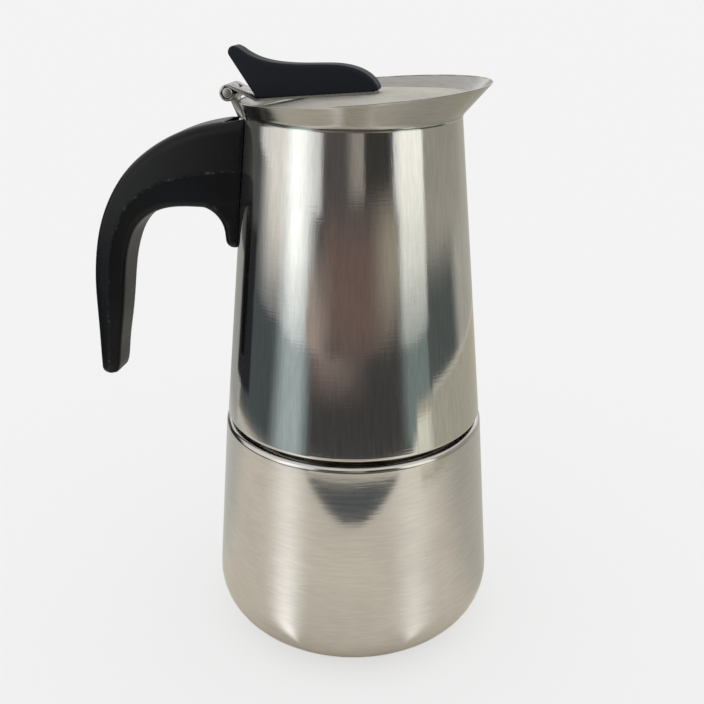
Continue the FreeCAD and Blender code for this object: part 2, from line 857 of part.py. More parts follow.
# Shares of the arch's curve that face even steps of the outer curve. Those below nought
# lie on the straight run between the jug and the arch.
arch_shares = (-0.8, -0.3, 0.05, 0.2, 0.37, 0.51, 0.655, 0.8, 1.0)
grip_shares = (0.33, 0.67, 1.0)
tip_steps = (30, 55, 75, 90)    # degrees round the tip's rounding


def handle_stations():
    """Pairs of outer and inner points along the hook, each with its half width."""
    root = flat(handle_wall, handle_top)
    top_way = flat(-1, -handle_slope)
    bend_end = root + flat(-handle_reach, -handle_drop)
    arch_level = handle_top - handle_depth
    arch_top = flat(handle_wall - arch_start, arch_level)
    arch_end = flat(handle_wall - arch_reach, arch_level - arch_drop)
    inside = handle_half_width
    pairs = [(root - top_way * inside, flat(handle_wall + inside, arch_level))]
    for i, inner in enumerate(arch_shares):
        outer = i / (len(arch_shares) - 1)
        outer_point = bezier(
            root, top_way * handle_top_pull, flat(handle_lean, 1) * handle_grip_pull, bend_end, outer)
        inner_point = bezier(
            arch_top, flat(-arch_top_pull, 0), flat(arch_lean, 1) * arch_grip_pull, arch_end, max(inner, 0))
        inner_point = inner_point + flat(-arch_top_pull * min(inner, 0), 0)
        pairs.append((outer_point, inner_point))
    for share in grip_shares:
        outer_point = bend_end - flat(handle_lean, 1) * (handle_grip * share)
        inner_tip = bend_end + flat(handle_tip - handle_lean * handle_grip, -handle_grip)
        pairs.append((outer_point, arch_end + (inner_tip - arch_end) * share))
    stations = []
    for i, (outer, inner) in enumerate(pairs):
        share = max(0.0, (i - 2) / (len(pairs) - 3))
        width = handle_half_width + (tip_half_width - handle_half_width) * share
        stations.append((outer, inner, width))
    return stations


def tip_stations(outer, inner, width):
    """The tip's rounding, as ever smaller sections below the end of the grip."""
    stations = [(outer, inner, width)]
    for degrees in tip_steps:
        inset = tip_round * (1 - math.cos(math.radians(degrees)))
        drop = flat(0, -tip_round * math.sin(math.radians(degrees)))
        sideways = (inner - outer).normalize() * inset
        stations.append((outer + sideways + drop, inner - sideways + drop, width - inset))
    return stations


def handle_section(outer, inner, width):
    """Rounded six-sided section with a parting ridge half way up each side."""
    height = (outer - inner).Length
    along = (outer - inner).normalize()
    edge = width - handle_draft
    upper = min(handle_top_round, top_round_limit * height)
    under = min(handle_under_round, under_round_limit * height)
    points = [
        (-edge, 0, under),
        (edge, 0, under),
        (width, ridge_share * height, 0),
        (edge, height, upper),
        (-edge, height, upper),
        (-width, ridge_share * height, 0),
    ]
    wire = Part.Wire(rounded_edges(points, closed=True))
    frame = FreeCAD.Matrix(
        0, ACROSS.cross(along).x, along.x, inner.x,
        1, ACROSS.cross(along).y, along.y, inner.y,
        0, ACROSS.cross(along).z, along.z, inner.z,
        0, 0, 0, 1)
    return wire.transformGeometry(frame)


def handle_lug():
    """Lug under the arch that lies along the jug's wall."""
    arch_level = handle_top - handle_depth
    low = arch_level - nib_drop
    inside = wall_x(handle_top) + handle_half_width
    root = wall_x(arch_level, lug_root_thickness)
    blend = arch_level + lug_blend
    top = arch_level + lug_overlap
    face = Part.Face(Part.Wire(rounded_edges([
        (inside, top, 0),
        (inside, low, 0),
        (wall_x(low, nib_thickness), low, nib_round),
        (root, blend, lug_root_round),
        (root - lug_run_out, blend, 0),
        (root - lug_run_out, top, 0),
    ], closed=True)))
    half = handle_half_width - nib_inset
    lug = slab(face, 2 * half)
    outline = []
    for edge in lug.Edges:
        middle = edge.CenterOfMass
        below_arch = middle.z < blend - lug_blend / 2
        if below_arch and middle.x < inside - touch and abs(middle.y) > half - touch:
            outline.append(edge)
    return lug.makeFillet(handle_under_round, outline)


def handle():
    stations = handle_stations()
    hook = Part.makeLoft([handle_section(*station) for station in stations], True, False)
    tip = Part.makeLoft([handle_section(*station) for station in tip_stations(*stations[-1])], True, True)
    jug = jug_outside(handle_wall_gap)
    body = hook.cut(jug).fuse([tip, handle_lug().cut(jug)])
    return body.cut(handle_pockets())


def handle_pockets():
    """Room in the handle for the bracket's plate, arm and tang, and for the screw."""
    gap = pocket_clearance
    top = handle_top + cut_allowance
    low = mouth_level - plate_below_mouth - plate_length - gap
    plate = slab(Part.Face(Part.Wire(rounded_edges([
        (wall_x(top, plate_sheet + gap), top, 0),
        (wall_x(top) + plate_depth, top, 0),
        (wall_x(low) + plate_depth, low, 0),
        (wall_x(low, plate_sheet + gap), low, 0),
    ], closed=True))), plate_width + 2 * gap)
    half = tang_width / 2 + gap
    tang = block(
        (wall_x(handle_top, tang_length + gap), wall_x(handle_top)),
        (-half, half),
        (tang_level - tang_thickness / 2 - gap / 2, tang_level + tang_thickness / 2 + gap / 2))
    notch = block(
        (wall_x(handle_top, notch_length), wall_x(handle_top) + cut_allowance),
        (-plate_width / 2 - gap, plate_width / 2 + gap),
        (handle_top - notch_depth, top))
    place = V(wall_x(handle_top, handle_screw_reach), 0, 0)
    arch_level = handle_top - handle_depth
    seat = arch_level + handle_screw_recess + handle_screw_head
    head = Part.makeCylinder(
        handle_screw_head_radius + gap, seat - arch_level + arch_drop, place + UP * (arch_level - arch_drop))
    end = tang_level + tang_thickness / 2 + handle_screw_past_tang + handle_screw_end_gap
    shank = Part.makeCylinder(handle_screw_radius + screw_clearance, end - seat, place + UP * seat)
    return plate.fuse([tang, notch, head, shank])


def handle_screw():
    seat = handle_top - handle_depth + handle_screw_recess + handle_screw_head
    place = V(wall_x(handle_top, handle_screw_reach), 0, 0)
    length = tang_level + tang_thickness / 2 + handle_screw_past_tang - seat
    shank = Part.makeCylinder(handle_screw_radius, length, place + UP * seat)
    head = Part.makeCylinder(
        handle_screw_head_radius, handle_screw_head, place + UP * (seat - handle_screw_head))
    lower = [e for e in head.Edges if e.CenterOfMass.z < seat - handle_screw_head + touch]
    return shank.fuse(head.makeFillet(handle_screw_head / 2, lower)).removeSplitter()


def save(name, shape):
    shape.exportStep(os.path.join("parts", name + ".step"))
    ok = shape.isValid()
    print(f"{name:22s} solids {len(shape.Solids)} valid {ok} volume {shape.Volume:.1f}")


def main():
    os.makedirs("parts", exist_ok=True)
    pieces = [
        boiler_shell, valve_body, valve_outer_washer, valve_inner_washer, valve_nut, valve_cap,
        valve_plunger, valve_spring, funnel_cup, funnel_stem, funnel_sieve, gasket, filter_plate,
        jug_wall, jug_base, coffee_column, column_cap, pouring_collar, lid, hinge_pin, lid_strap,
        lid_knob, knob_screws, handle_bracket, handle, handle_screw,
    ]
    for piece in pieces:
        save(piece.__name__, piece())


main()
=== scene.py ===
import json
import math

import bmesh
import bpy
from mathutils import Matrix, Vector, kdtree


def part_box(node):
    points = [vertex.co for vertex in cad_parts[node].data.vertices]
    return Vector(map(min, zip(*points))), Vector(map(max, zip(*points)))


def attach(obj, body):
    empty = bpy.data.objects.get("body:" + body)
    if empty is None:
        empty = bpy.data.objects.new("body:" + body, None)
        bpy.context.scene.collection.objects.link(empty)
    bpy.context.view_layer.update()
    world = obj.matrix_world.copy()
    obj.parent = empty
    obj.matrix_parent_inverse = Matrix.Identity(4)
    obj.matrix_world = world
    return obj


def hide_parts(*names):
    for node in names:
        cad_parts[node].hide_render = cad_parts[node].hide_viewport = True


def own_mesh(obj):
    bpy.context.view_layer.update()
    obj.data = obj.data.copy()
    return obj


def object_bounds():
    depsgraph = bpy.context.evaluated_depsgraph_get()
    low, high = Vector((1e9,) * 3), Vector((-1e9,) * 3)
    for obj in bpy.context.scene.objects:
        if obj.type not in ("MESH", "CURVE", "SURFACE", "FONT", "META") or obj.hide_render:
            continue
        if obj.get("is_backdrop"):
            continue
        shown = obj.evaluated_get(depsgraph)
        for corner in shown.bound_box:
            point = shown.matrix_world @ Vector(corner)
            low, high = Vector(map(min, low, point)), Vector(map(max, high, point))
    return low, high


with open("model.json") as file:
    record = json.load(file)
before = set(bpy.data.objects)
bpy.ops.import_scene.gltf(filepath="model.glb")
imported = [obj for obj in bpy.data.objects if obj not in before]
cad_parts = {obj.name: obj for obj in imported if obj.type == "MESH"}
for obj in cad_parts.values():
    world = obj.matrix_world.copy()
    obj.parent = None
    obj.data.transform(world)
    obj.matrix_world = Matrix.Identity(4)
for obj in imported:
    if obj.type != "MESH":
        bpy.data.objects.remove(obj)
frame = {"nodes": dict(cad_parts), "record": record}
cad_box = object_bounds()
mm = 0.001

# Boiler: a deep-drawn stainless cup with a generous rounding at the foot, a narrow shoulder
# and a neck with a rolled screw thread. The outside is polished to a satin shine, with fine
# marks that run round it.
boiler_foot_radius = 52.0 * mm
boiler_corner = 18.0 * mm
boiler_sheet = 0.9 * mm
shoulder_radius = 45.5 * mm
shoulder_height = 80.0 * mm
shoulder_round = 1.8 * mm
neck_radius = 38.0 * mm
neck_top = 91.0 * mm
neck_root_round = 1.5 * mm
thread_pitch = 3.0 * mm
thread_depth = 0.6 * mm
thread_row = 0.25 * mm
straight_support = 0.3 * mm


def corner_arc(before, here, after, radius, steps):
    """Points round one corner of a profile."""
    here = Vector(here)
    back = (Vector(before) - here).normalized()
    ahead = (Vector(after) - here).normalized()
    half = back.angle(ahead) / 2
    centre = here + (back + ahead).normalized() * (radius / math.sin(half))
    start = here + back * (radius / math.tan(half)) - centre
    end = here + ahead * (radius / math.tan(half)) - centre
    turn = start.angle_signed(end)
    return [tuple(centre + Matrix.Rotation(-turn * i / steps, 2) @ start) for i in range(steps + 1)]


def rounded_run(corners, steps=12):
    """A profile through (radius, height, rounding) corners. Long straights keep their own slope."""
    points = []
    for i, (x, z, radius) in enumerate(corners):
        if radius > 0 and 0 < i < len(corners) - 1:
            points += corner_arc(corners[i - 1][:2], (x, z), corners[i + 1][:2], radius, steps)
        else:
            points.append((x, z))
    supported = points[:1]
    for start, end in zip(points, points[1:]):
        run = Vector(end) - Vector(start)
        if run.length > 10 * straight_support:
            step = run.normalized() * straight_support
            supported += [tuple(Vector(start) + step), tuple(Vector(end) - step)]
        supported.append(end)
    return supported


def offset_run(corners, distance):
    """The corners of a sheet's other skin, to the left of the way the profile runs."""
    moved = []
    for i, (x, z, radius) in enumerate(corners):
        here = Vector((x, z))
        ways = []
        if i > 0:
            ways.append((here - Vector(corners[i - 1][:2])).normalized())
        if i < len(corners) - 1:
            ways.append((Vector(corners[i + 1][:2]) - here).normalized())
        first = Vector((-ways[0].y, ways[0].x))
        last = Vector((-ways[-1].y, ways[-1].x))
        here += (first + last) * (distance / (1 + first.dot(last)))
        if radius > 0:
            radius += -distance if ways[0].cross(ways[-1]) > 0 else distance
        moved.append((here.x, here.y, max(radius, 0)))
    return moved


def level_ring(radius, height, steps=256):
    """Points round the upright axis."""
    turns = [2 * math.pi * i / steps for i in range(steps)]
    return [Vector((radius * math.cos(turn), radius * math.sin(turn), height)) for turn in turns]


def ringed_mesh(name, rings):
    """A closed skin through rings of points, the last joined to the first. A ring may be a pole."""
    build = bmesh.new()
    rows = []
    for ring in rings:
        if ring[0] == ring[1]:
            rows.append([build.verts.new(ring[0])] * len(ring))
        else:
            rows.append([build.verts.new(point) for point in ring])
    for lower, upper in zip(rows, rows[1:] + rows[:1]):
        for i in range(len(lower)):
            corners = list(dict.fromkeys((lower[i - 1], lower[i], upper[i], upper[i - 1])))
            if len(corners) > 2:
                build.faces.new(corners)
    bmesh.ops.recalc_face_normals(build, faces=build.faces)
    mesh = bpy.data.meshes.new(name)
    build.to_mesh(mesh)
    build.free()
    return mesh


def turned_sheet(name, corners, sheet):
    """A sheet of revolution: one skin through the corners, the other to its left."""
    loop = rounded_run(corners) + rounded_run(offset_run(corners, sheet))[::-1]
    return ringed_mesh(name, [level_ring(radius, height) for radius, height in loop])


def shade_smooth(mesh, sharp_angle):
    """Smooth shading, but for edges that turn by more than an angle in degrees."""
    for polygon in mesh.polygons:
        polygon.use_smooth = True
    mesh.set_sharp_from_angle(angle=math.radians(sharp_angle))


def add_piece(name, mesh, sharp_angle=35):
    """A finished mesh as an object of the scene, smooth but for its sharp edges."""
    shade_smooth(mesh, sharp_angle)
    piece = bpy.data.objects.new(name, mesh)
    bpy.context.scene.collection.objects.link(piece)
    return piece


def give(piece, material, body, slot, *nodes):
    """Says what a piece is finished in, what it moves with and which solids it stands for."""
    piece.data.materials.clear()
    piece.data.materials.append(material)
    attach(piece, body)
    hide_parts(*nodes)


def calc(tree, operation, *values):
    """A Math node on numbers or sockets; gives its result."""
    sums = tree.nodes.new("ShaderNodeMath")
    sums.operation = operation
    for socket, value in zip(sums.inputs, values):
        if isinstance(value, (int, float)):
            socket.default_value = value
        else:
            tree.links.new(value, socket)
    return sums.outputs[0]


def add_node(tree, kind, **inputs):
    """A node with some inputs set, to a value or from a socket. An underscore is a space."""
    made = tree.nodes.new(kind)
    for name, value in inputs.items():
        socket = made.inputs[name.replace("_", " ")]
        if isinstance(value, bpy.types.NodeSocket):
            tree.links.new(value, socket)
        else:
            socket.default_value = value
    return made


def geometry_tree(name, sizes):
    """An empty Geometry Nodes tree with a geometry and the named sizes going in."""
    tree = bpy.data.node_groups.new(name, "GeometryNodeTree")
    tree.interface.new_socket("Geometry", in_out="INPUT", socket_type="NodeSocketGeometry")
    for size in sizes:
        tree.interface.new_socket(size, in_out="INPUT", socket_type="NodeSocketFloat")
    tree.interface.new_socket("Material", in_out="INPUT", socket_type="NodeSocketMaterial")
    tree.interface.new_socket("Geometry", in_out="OUTPUT", socket_type="NodeSocketGeometry")
    return tree, tree.nodes.new("NodeGroupInput").outputs


def finish_tree(tree, geometry, material):
    """Ends a tree in plain geometry with its material set."""
    plain = add_node(tree, "GeometryNodeRealizeInstances", Geometry=geometry)
    painted = add_node(tree, "GeometryNodeSetMaterial", Geometry=plain.outputs[0], Material=material)
    tree.links.new(painted.outputs[0], tree.nodes.new("NodeGroupOutput").inputs[0])


def grow(mesh, tree, material, **sizes):
    """The plain mesh that a tree makes from a start mesh and its sizes."""
    holder = bpy.data.objects.new("holder", mesh)
    bpy.context.scene.collection.objects.link(holder)
    modifier = holder.modifiers.new(tree.name, "NODES")
    modifier.node_group = tree
    values = {name.replace("_", " "): value for name, value in sizes.items()}
    values["Material"] = material
    for item in tree.interface.items_tree:
        if item.in_out == "INPUT" and item.name in values:
            modifier[item.identifier] = values[item.name]
    evaluated = holder.evaluated_get(bpy.context.evaluated_depsgraph_get())
    grown = bpy.data.meshes.new_from_object(evaluated)
    holder.modifiers.clear()
    bpy.data.objects.remove(holder)
    return grown


def rolled_thread_tree():
    """Presses a helical groove into the upright wall between two heights."""
    tree, size = geometry_tree("rolled thread", ("Pitch", "Depth", "Low", "High"))
    place = tree.nodes.new("GeometryNodeInputPosition").outputs[0]
    split = add_node(tree, "ShaderNodeSeparateXYZ", Vector=place).outputs
    bearing = calc(tree, "ARCTAN2", split["Y"], split["X"])
    turns = calc(tree, "MULTIPLY", calc(tree, "DIVIDE", split["Z"], size["Pitch"]), 2 * math.pi)
    wave = calc(tree, "COSINE", calc(tree, "SUBTRACT", turns, bearing))
    start = add_node(
        tree, "ShaderNodeMapRange", Value=split["Z"], From_Min=size["Low"],
        From_Max=calc(tree, "ADD", size["Low"], size["Pitch"])).outputs[0]
    end = add_node(
        tree, "ShaderNodeMapRange", Value=split["Z"], From_Min=size["High"],
        From_Max=calc(tree, "SUBTRACT", size["High"], size["Pitch"])).outputs[0]
    press = calc(tree, "MULTIPLY", calc(tree, "SUBTRACT", wave, 1.0), calc(tree, "MULTIPLY", start, end))
    press = calc(tree, "MULTIPLY", press, calc(tree, "MULTIPLY", size["Depth"], 0.5))
    level = add_node(tree, "ShaderNodeCombineXYZ", X=split["X"], Y=split["Y"]).outputs[0]
    outward = tree.nodes.new("ShaderNodeVectorMath")
    outward.operation = "NORMALIZE"
    tree.links.new(level, outward.inputs[0])
    moved = tree.nodes.new("ShaderNodeVectorMath")
    moved.operation = "SCALE"
    tree.links.new(outward.outputs[0], moved.inputs[0])
    tree.links.new(press, moved.inputs["Scale"])
    pressed = add_node(tree, "GeometryNodeSetPosition", Geometry=size["Geometry"], Offset=moved.outputs[0])
    finish_tree(tree, pressed.outputs[0], size["Material"])
    return tree


def polishing_group():
    """Polishing marks drawn out along one way: a height for bump and a varied roughness."""
    group = bpy.data.node_groups.new("polishing marks", "ShaderNodeTree")
    group.interface.new_socket("Fineness", in_out="INPUT", socket_type="NodeSocketVector")
    for name in ("Roughness", "Spread", "Smudge"):
        group.interface.new_socket(name, in_out="INPUT", socket_type="NodeSocketFloat")
    for name in ("Height", "Roughness"):
        group.interface.new_socket(name, in_out="OUTPUT", socket_type="NodeSocketFloat")
    size = group.nodes.new("NodeGroupInput").outputs
    place = group.nodes.new("ShaderNodeTexCoord").outputs["Object"]
    drawn = group.nodes.new("ShaderNodeVectorMath")
    drawn.operation = "MULTIPLY"
    group.links.new(place, drawn.inputs[0])
    group.links.new(size["Fineness"], drawn.inputs[1])
    marks = add_node(
        group, "ShaderNodeTexNoise", Vector=drawn.outputs[0], Scale=1.0, Detail=2.0, Roughness=0.6)
    clouds = add_node(group, "ShaderNodeTexNoise", Vector=place, Scale=45.0, Detail=5.0, Roughness=0.6)
    fine = calc(group, "MULTIPLY", calc(group, "SUBTRACT", marks.outputs["Fac"], 0.5), size["Spread"])
    broad = calc(group, "MULTIPLY", calc(group, "SUBTRACT", clouds.outputs["Fac"], 0.5), size["Smudge"])
    rough = calc(group, "ADD", calc(group, "ADD", fine, broad), size["Roughness"])
    end = group.nodes.new("NodeGroupOutput")
    group.links.new(marks.outputs["Fac"], end.inputs["Height"])
    group.links.new(calc(group, "MAXIMUM", rough, 0.03), end.inputs["Roughness"])
    return group


polishing_marks = polishing_group()
round_marks = (140, 140, 1500)
upright_marks = (1100, 1100, 60)
cross_share = 0.5
mark_relief = 0.02 * mm
steel_tones = (0.88, 1.03)


def steel(name, colour, fineness, roughness, spread, smudge, relief, anisotropy, cross=None):
    """Stainless steel with polishing marks, and a second set across them where one is given."""
    material = bpy.data.materials.new(name)
    material.use_nodes = True
    tree = material.node_tree
    shader = tree.nodes["Principled BSDF"]
    shader.inputs["Metallic"].default_value = 1.0
    shader.inputs["Anisotropic"].default_value = anisotropy
    marks = tree.nodes.new("ShaderNodeGroup")
    marks.node_tree = polishing_marks
    marks.inputs["Fineness"].default_value = fineness
    marks.inputs["Roughness"].default_value = roughness
    marks.inputs["Spread"].default_value = spread
    marks.inputs["Smudge"].default_value = smudge
    tree.links.new(marks.outputs["Roughness"], shader.inputs["Roughness"])
    bump = add_node(
        tree, "ShaderNodeBump", Strength=relief, Distance=mark_relief, Height=marks.outputs["Height"])
    if cross:
        other = tree.nodes.new("ShaderNodeGroup")
        other.node_tree = polishing_marks
        other.inputs["Fineness"].default_value = cross
        bump = add_node(
            tree, "ShaderNodeBump", Strength=relief * cross_share, Distance=mark_relief,
            Height=other.outputs["Height"], Normal=bump.outputs[0])
    tree.links.new(bump.outputs[0], shader.inputs["Normal"])
    place = tree.nodes.new("ShaderNodeTexCoord").outputs["Object"]
    clouds = add_node(tree, "ShaderNodeTexNoise", Vector=place, Scale=38.0, Detail=4.0, Roughness=0.55)
    shade = calc(tree, "ADD", clouds.outputs["Fac"], calc(tree, "SUBTRACT", marks.outputs["Height"], 0.5))
    tint = add_node(tree, "ShaderNodeValToRGB", Fac=shade)
    low, high = tint.color_ramp.elements
    low.position, high.position = 0.25, 0.75
    low.color = (*[c * steel_tones[0] for c in colour], 1)
    high.color = (*[c * steel_tones[1] for c in colour], 1)
    tree.links.new(tint.outputs["Color"], shader.inputs["Base Color"])
    return material


boiler_steel = steel(
    "satin boiler steel", (0.60, 0.585, 0.56), round_marks, 0.10, 0.06, 0.10, 0.22, 0.2)
boiler_corners = [
    (0, 0, 0),
    (boiler_foot_radius, 0, boiler_corner),
    (shoulder_radius, shoulder_height, shoulder_round),
    (neck_radius, shoulder_height, neck_root_round),
]
thread_start = shoulder_height + neck_root_round
for row in range(1, int((neck_top - thread_start) / thread_row)):
    boiler_corners.append((neck_radius, thread_start + row * thread_row, 0))
boiler_corners.append((neck_radius, neck_top, 0))
rolled_thread = rolled_thread_tree()
boiler_mesh = grow(
    turned_sheet("boiler_cup", boiler_corners, boiler_sheet), rolled_thread, boiler_steel,
    Pitch=thread_pitch, Depth=thread_depth, Low=thread_start, High=neck_top)
give(add_piece("boiler_cup", boiler_mesh), boiler_steel, "boiler", "steel_body", "boiler_shell")

# Safety valve: a small brass body through the boiler's back wall, held by a nut inside and
# sealed by a washer on each face of the sheet. A spring keeps its plunger shut.
weld_distance = 0.001 * mm
grain_relief = 0.03 * mm


def smoothed_copy(name, source, bevel=0.0):
    """A solid's mesh, merged and with its flats whole, its edges broken by a small bevel."""
    original = frame["nodes"][source].data
    mesh = bpy.data.meshes.new(name)
    mesh.from_pydata([v.co for v in original.vertices], [], [tuple(p.vertices) for p in original.polygons])
    build = bmesh.new()
    build.from_mesh(mesh)
    bmesh.ops.remove_doubles(build, verts=build.verts, dist=weld_distance)
    bmesh.ops.dissolve_limit(
        build, angle_limit=math.radians(0.3), verts=build.verts, edges=build.edges)
    build.to_mesh(mesh)
    build.free()
    piece = add_piece(name, mesh, 30)
    if bevel > 0:
        modifier = piece.modifiers.new("broken edge", "BEVEL")
        modifier.width = bevel
        modifier.segments = 2
        modifier.limit_method = "ANGLE"
        modifier.angle_limit = math.radians(40)
        evaluated = piece.evaluated_get(bpy.context.evaluated_depsgraph_get())
        piece.data = bpy.data.meshes.new_from_object(evaluated)
        piece.modifiers.clear()
        shade_smooth(piece.data, 50)
    return piece


def plain_stuff(name, dark, light, grain, roughness, relief, metallic=0.0):
    """A mottled material: two tones and a fine relief from one grain size."""
    material = bpy.data.materials.new(name)
    material.use_nodes = True
    tree = material.node_tree
    shader = tree.nodes["Principled BSDF"]
    shader.inputs["Metallic"].default_value = metallic
    place = tree.nodes.new("ShaderNodeTexCoord").outputs["Object"]
    mottle = add_node(tree, "ShaderNodeTexNoise", Vector=place, Scale=grain, Detail=5.0, Roughness=0.6)
    tint = add_node(tree, "ShaderNodeValToRGB", Fac=mottle.outputs["Fac"])
    low, high = tint.color_ramp.elements
    low.position, high.position = 0.35, 0.65
    low.color = (*dark, 1)
    high.color = (*light, 1)
    tree.links.new(tint.outputs["Color"], shader.inputs["Base Color"])
    rough = add_node(
        tree, "ShaderNodeMapRange", Value=mottle.outputs["Fac"], From_Min=0.3, From_Max=0.7,
        To_Min=roughness - 0.06, To_Max=roughness + 0.06)
    tree.links.new(rough.outputs[0], shader.inputs["Roughness"])
    bump = add_node(
        tree, "ShaderNodeBump", Strength=relief, Distance=grain_relief, Height=mottle.outputs["Fac"])
    tree.links.new(bump.outputs[0], shader.inputs["Normal"])
    return material


valve_brass = plain_stuff("dulled brass", (0.46, 0.31, 0.11), (0.62, 0.43, 0.17), 900, 0.30, 0.10, 1.0)
seal_rubber = plain_stuff("off-white silicone", (0.66, 0.64, 0.57), (0.74, 0.72, 0.66), 700, 0.55, 0.15)
wire_steel = plain_stuff("drawn wire", (0.36, 0.36, 0.36), (0.48, 0.48, 0.47), 1500, 0.32, 0.10, 1.0)
for source, body, slot, material, bevel in (
        ("valve_body", "boiler", "valve_brass", valve_brass, 0.25),
        ("valve_nut", "boiler", "valve_brass", valve_brass, 0.25),
        ("valve_cap", "boiler", "valve_brass", valve_brass, 0.1),
        ("valve_outer_washer", "boiler", "seal_rubber", seal_rubber, 0.2),
        ("valve_inner_washer", "boiler", "seal_rubber", seal_rubber, 0.2),
        ("valve_plunger", "valve_pin", "valve_brass", valve_brass, 0.2)):
    give(smoothed_copy(source + ".finished", source, bevel * mm), material, body, slot, source)

# Valve spring: drawn steel wire wound round the plunger's stem.
spring = smoothed_copy("valve_spring.finished", "valve_spring")
give(spring, wire_steel, "boiler", "spring_steel", "valve_spring")
joints = {joint["name"]: joint for joint in frame["record"]["behaviour"]["joints"]}
valve_axis = Vector(joints["valve_open"]["axis"])
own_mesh(spring)

# Coffee funnel: a pressed cup with a flange, a cone and a spigot, a tube welded on the spigot
# and a loose perforated disc that the ground coffee lies on.
inner_steel = steel(
    "pressed inner steel", (0.56, 0.55, 0.54), round_marks, 0.24, 0.12, 0.10, 0.15, 0.2)
for source in ("funnel_cup", "funnel_stem"):
    give(smoothed_copy(source + ".finished", source), inner_steel, "funnel", "steel_inner", source)

perforation_radius = 0.65 * mm
perforation_pitch = 2.6 * mm
perforation_margin = 3.0 * mm


def perforated_disc_tree():
    """A disc with a triangular grid of small holes inside a plain rim."""
    tree, size = geometry_tree("perforated disc", ("Radius", "Sheet", "Hole Radius", "Pitch", "Margin"))
    across = calc(tree, "MULTIPLY", size["Radius"], 2.0)
    row_pitch = calc(tree, "MULTIPLY", size["Pitch"], math.sqrt(3) / 2)
    columns = calc(tree, "CEIL", calc(tree, "DIVIDE", across, size["Pitch"]))
    rows = calc(tree, "MULTIPLY", calc(tree, "CEIL", calc(tree, "DIVIDE", size["Radius"], row_pitch)), 2.0)
    grid = add_node(
        tree, "GeometryNodeMeshGrid", Size_X=calc(tree, "MULTIPLY", columns, size["Pitch"]),
        Size_Y=calc(tree, "MULTIPLY", rows, row_pitch), Vertices_X=calc(tree, "ADD", columns, 1.0),
        Vertices_Y=calc(tree, "ADD", rows, 1.0))
    place = tree.nodes.new("GeometryNodeInputPosition").outputs[0]
    split = add_node(tree, "ShaderNodeSeparateXYZ", Vector=place).outputs
    row = calc(tree, "ROUND", calc(tree, "DIVIDE", split["Y"], row_pitch))
    odd = calc(tree, "FLOORED_MODULO", row, 2.0)
    half_step = calc(tree, "MULTIPLY", odd, calc(tree, "MULTIPLY", size["Pitch"], 0.5))
    aside = add_node(tree, "ShaderNodeCombineXYZ", X=half_step).outputs[0]
    staggered = add_node(tree, "GeometryNodeSetPosition", Geometry=grid.outputs[0], Offset=aside)
    length = tree.nodes.new("ShaderNodeVectorMath")
    length.operation = "LENGTH"
    tree.links.new(place, length.inputs[0])
    limit = calc(tree, "SUBTRACT", size["Radius"], calc(tree, "ADD", size["Margin"], size["Hole Radius"]))
    outside = calc(tree, "GREATER_THAN", length.outputs["Value"], limit)
    inside = add_node(tree, "GeometryNodeDeleteGeometry", Geometry=staggered.outputs[0], Selection=outside)
    hole = add_node(tree, "GeometryNodeCurvePrimitiveCircle", Resolution=12, Radius=size["Hole Radius"])
    holes = add_node(
        tree, "GeometryNodeInstanceOnPoints", Points=inside.outputs[0], Instance=hole.outputs[0])
    loose = add_node(tree, "GeometryNodeRealizeInstances", Geometry=holes.outputs[0])
    edge = add_node(tree, "GeometryNodeCurvePrimitiveCircle", Resolution=128, Radius=size["Radius"])
    outline = tree.nodes.new("GeometryNodeJoinGeometry")
    tree.links.new(edge.outputs[0], outline.inputs[0])
    tree.links.new(loose.outputs[0], outline.inputs[0])
    face = add_node(tree, "GeometryNodeFillCurve", Curve=outline.outputs[0])
    raised = add_node(
        tree, "GeometryNodeExtrudeMesh", Mesh=face.outputs[0], Offset_Scale=size["Sheet"], Individual=False)
    under = add_node(tree, "GeometryNodeFlipFaces", Mesh=face.outputs[0])
    both = tree.nodes.new("GeometryNodeJoinGeometry")
    tree.links.new(raised.outputs[0], both.inputs[0])
    tree.links.new(under.outputs[0], both.inputs[0])
    closed = add_node(tree, "GeometryNodeMergeByDistance", Geometry=both.outputs[0], Distance=weld_distance)
    finish_tree(tree, closed.outputs[0], size["Material"])
    return tree


perforated_disc = perforated_disc_tree()


def perforated(name, source, body):
    """A finely perforated disc in the place of a solid one."""
    low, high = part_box(source)
    mesh = grow(
        bpy.data.meshes.new(name), perforated_disc, inner_steel,
        Radius=(high.x - low.x) / 2, Sheet=high.z - low.z, Hole_Radius=perforation_radius,
        Pitch=perforation_pitch, Margin=perforation_margin)
    mesh.transform(Matrix.Translation((0, 0, low.z)))
    give(add_piece(name, mesh), inner_steel, body, "steel_inner", source)


perforated("sieve_disc", "funnel_sieve", "funnel")

# Seal: an off-white silicone ring under the jug, which also holds the upper perforated plate.
# Both come out by hand for cleaning.
give(smoothed_copy("gasket.finished", "gasket"), seal_rubber, "seal", "seal_rubber", "gasket")
perforated("filter_disc", "filter_plate", "seal")

# Jug: a tapered tube of polished stainless sheet, its foot hemmed inwards. A pressed base with
# the female thread is welded inside the foot.
jug_foot = 81.6 * mm
jug_foot_radius = 45.0 * mm
jug_mouth_radius = 34.9 * mm
mouth_level = 185.2 * mm
jug_sheet = 0.7 * mm
jug_hem = 1.5 * mm
jug_hem_round = 1.2 * mm
rim_radius = 40.5 * mm
rim_shift = 3.7 * mm
rim_level = mouth_level + 7.2 * mm
rim_tilt = math.radians(4.5)
neck_reach = 1.3 * mm
neck_steps = 6


def on_rim(u, v, w):
    """A point given in the collar rim's own tilted plane."""
    return Vector((rim_shift, 0, rim_level)) + Matrix.Rotation(-rim_tilt, 3, "Y") @ Vector((u, v, w))


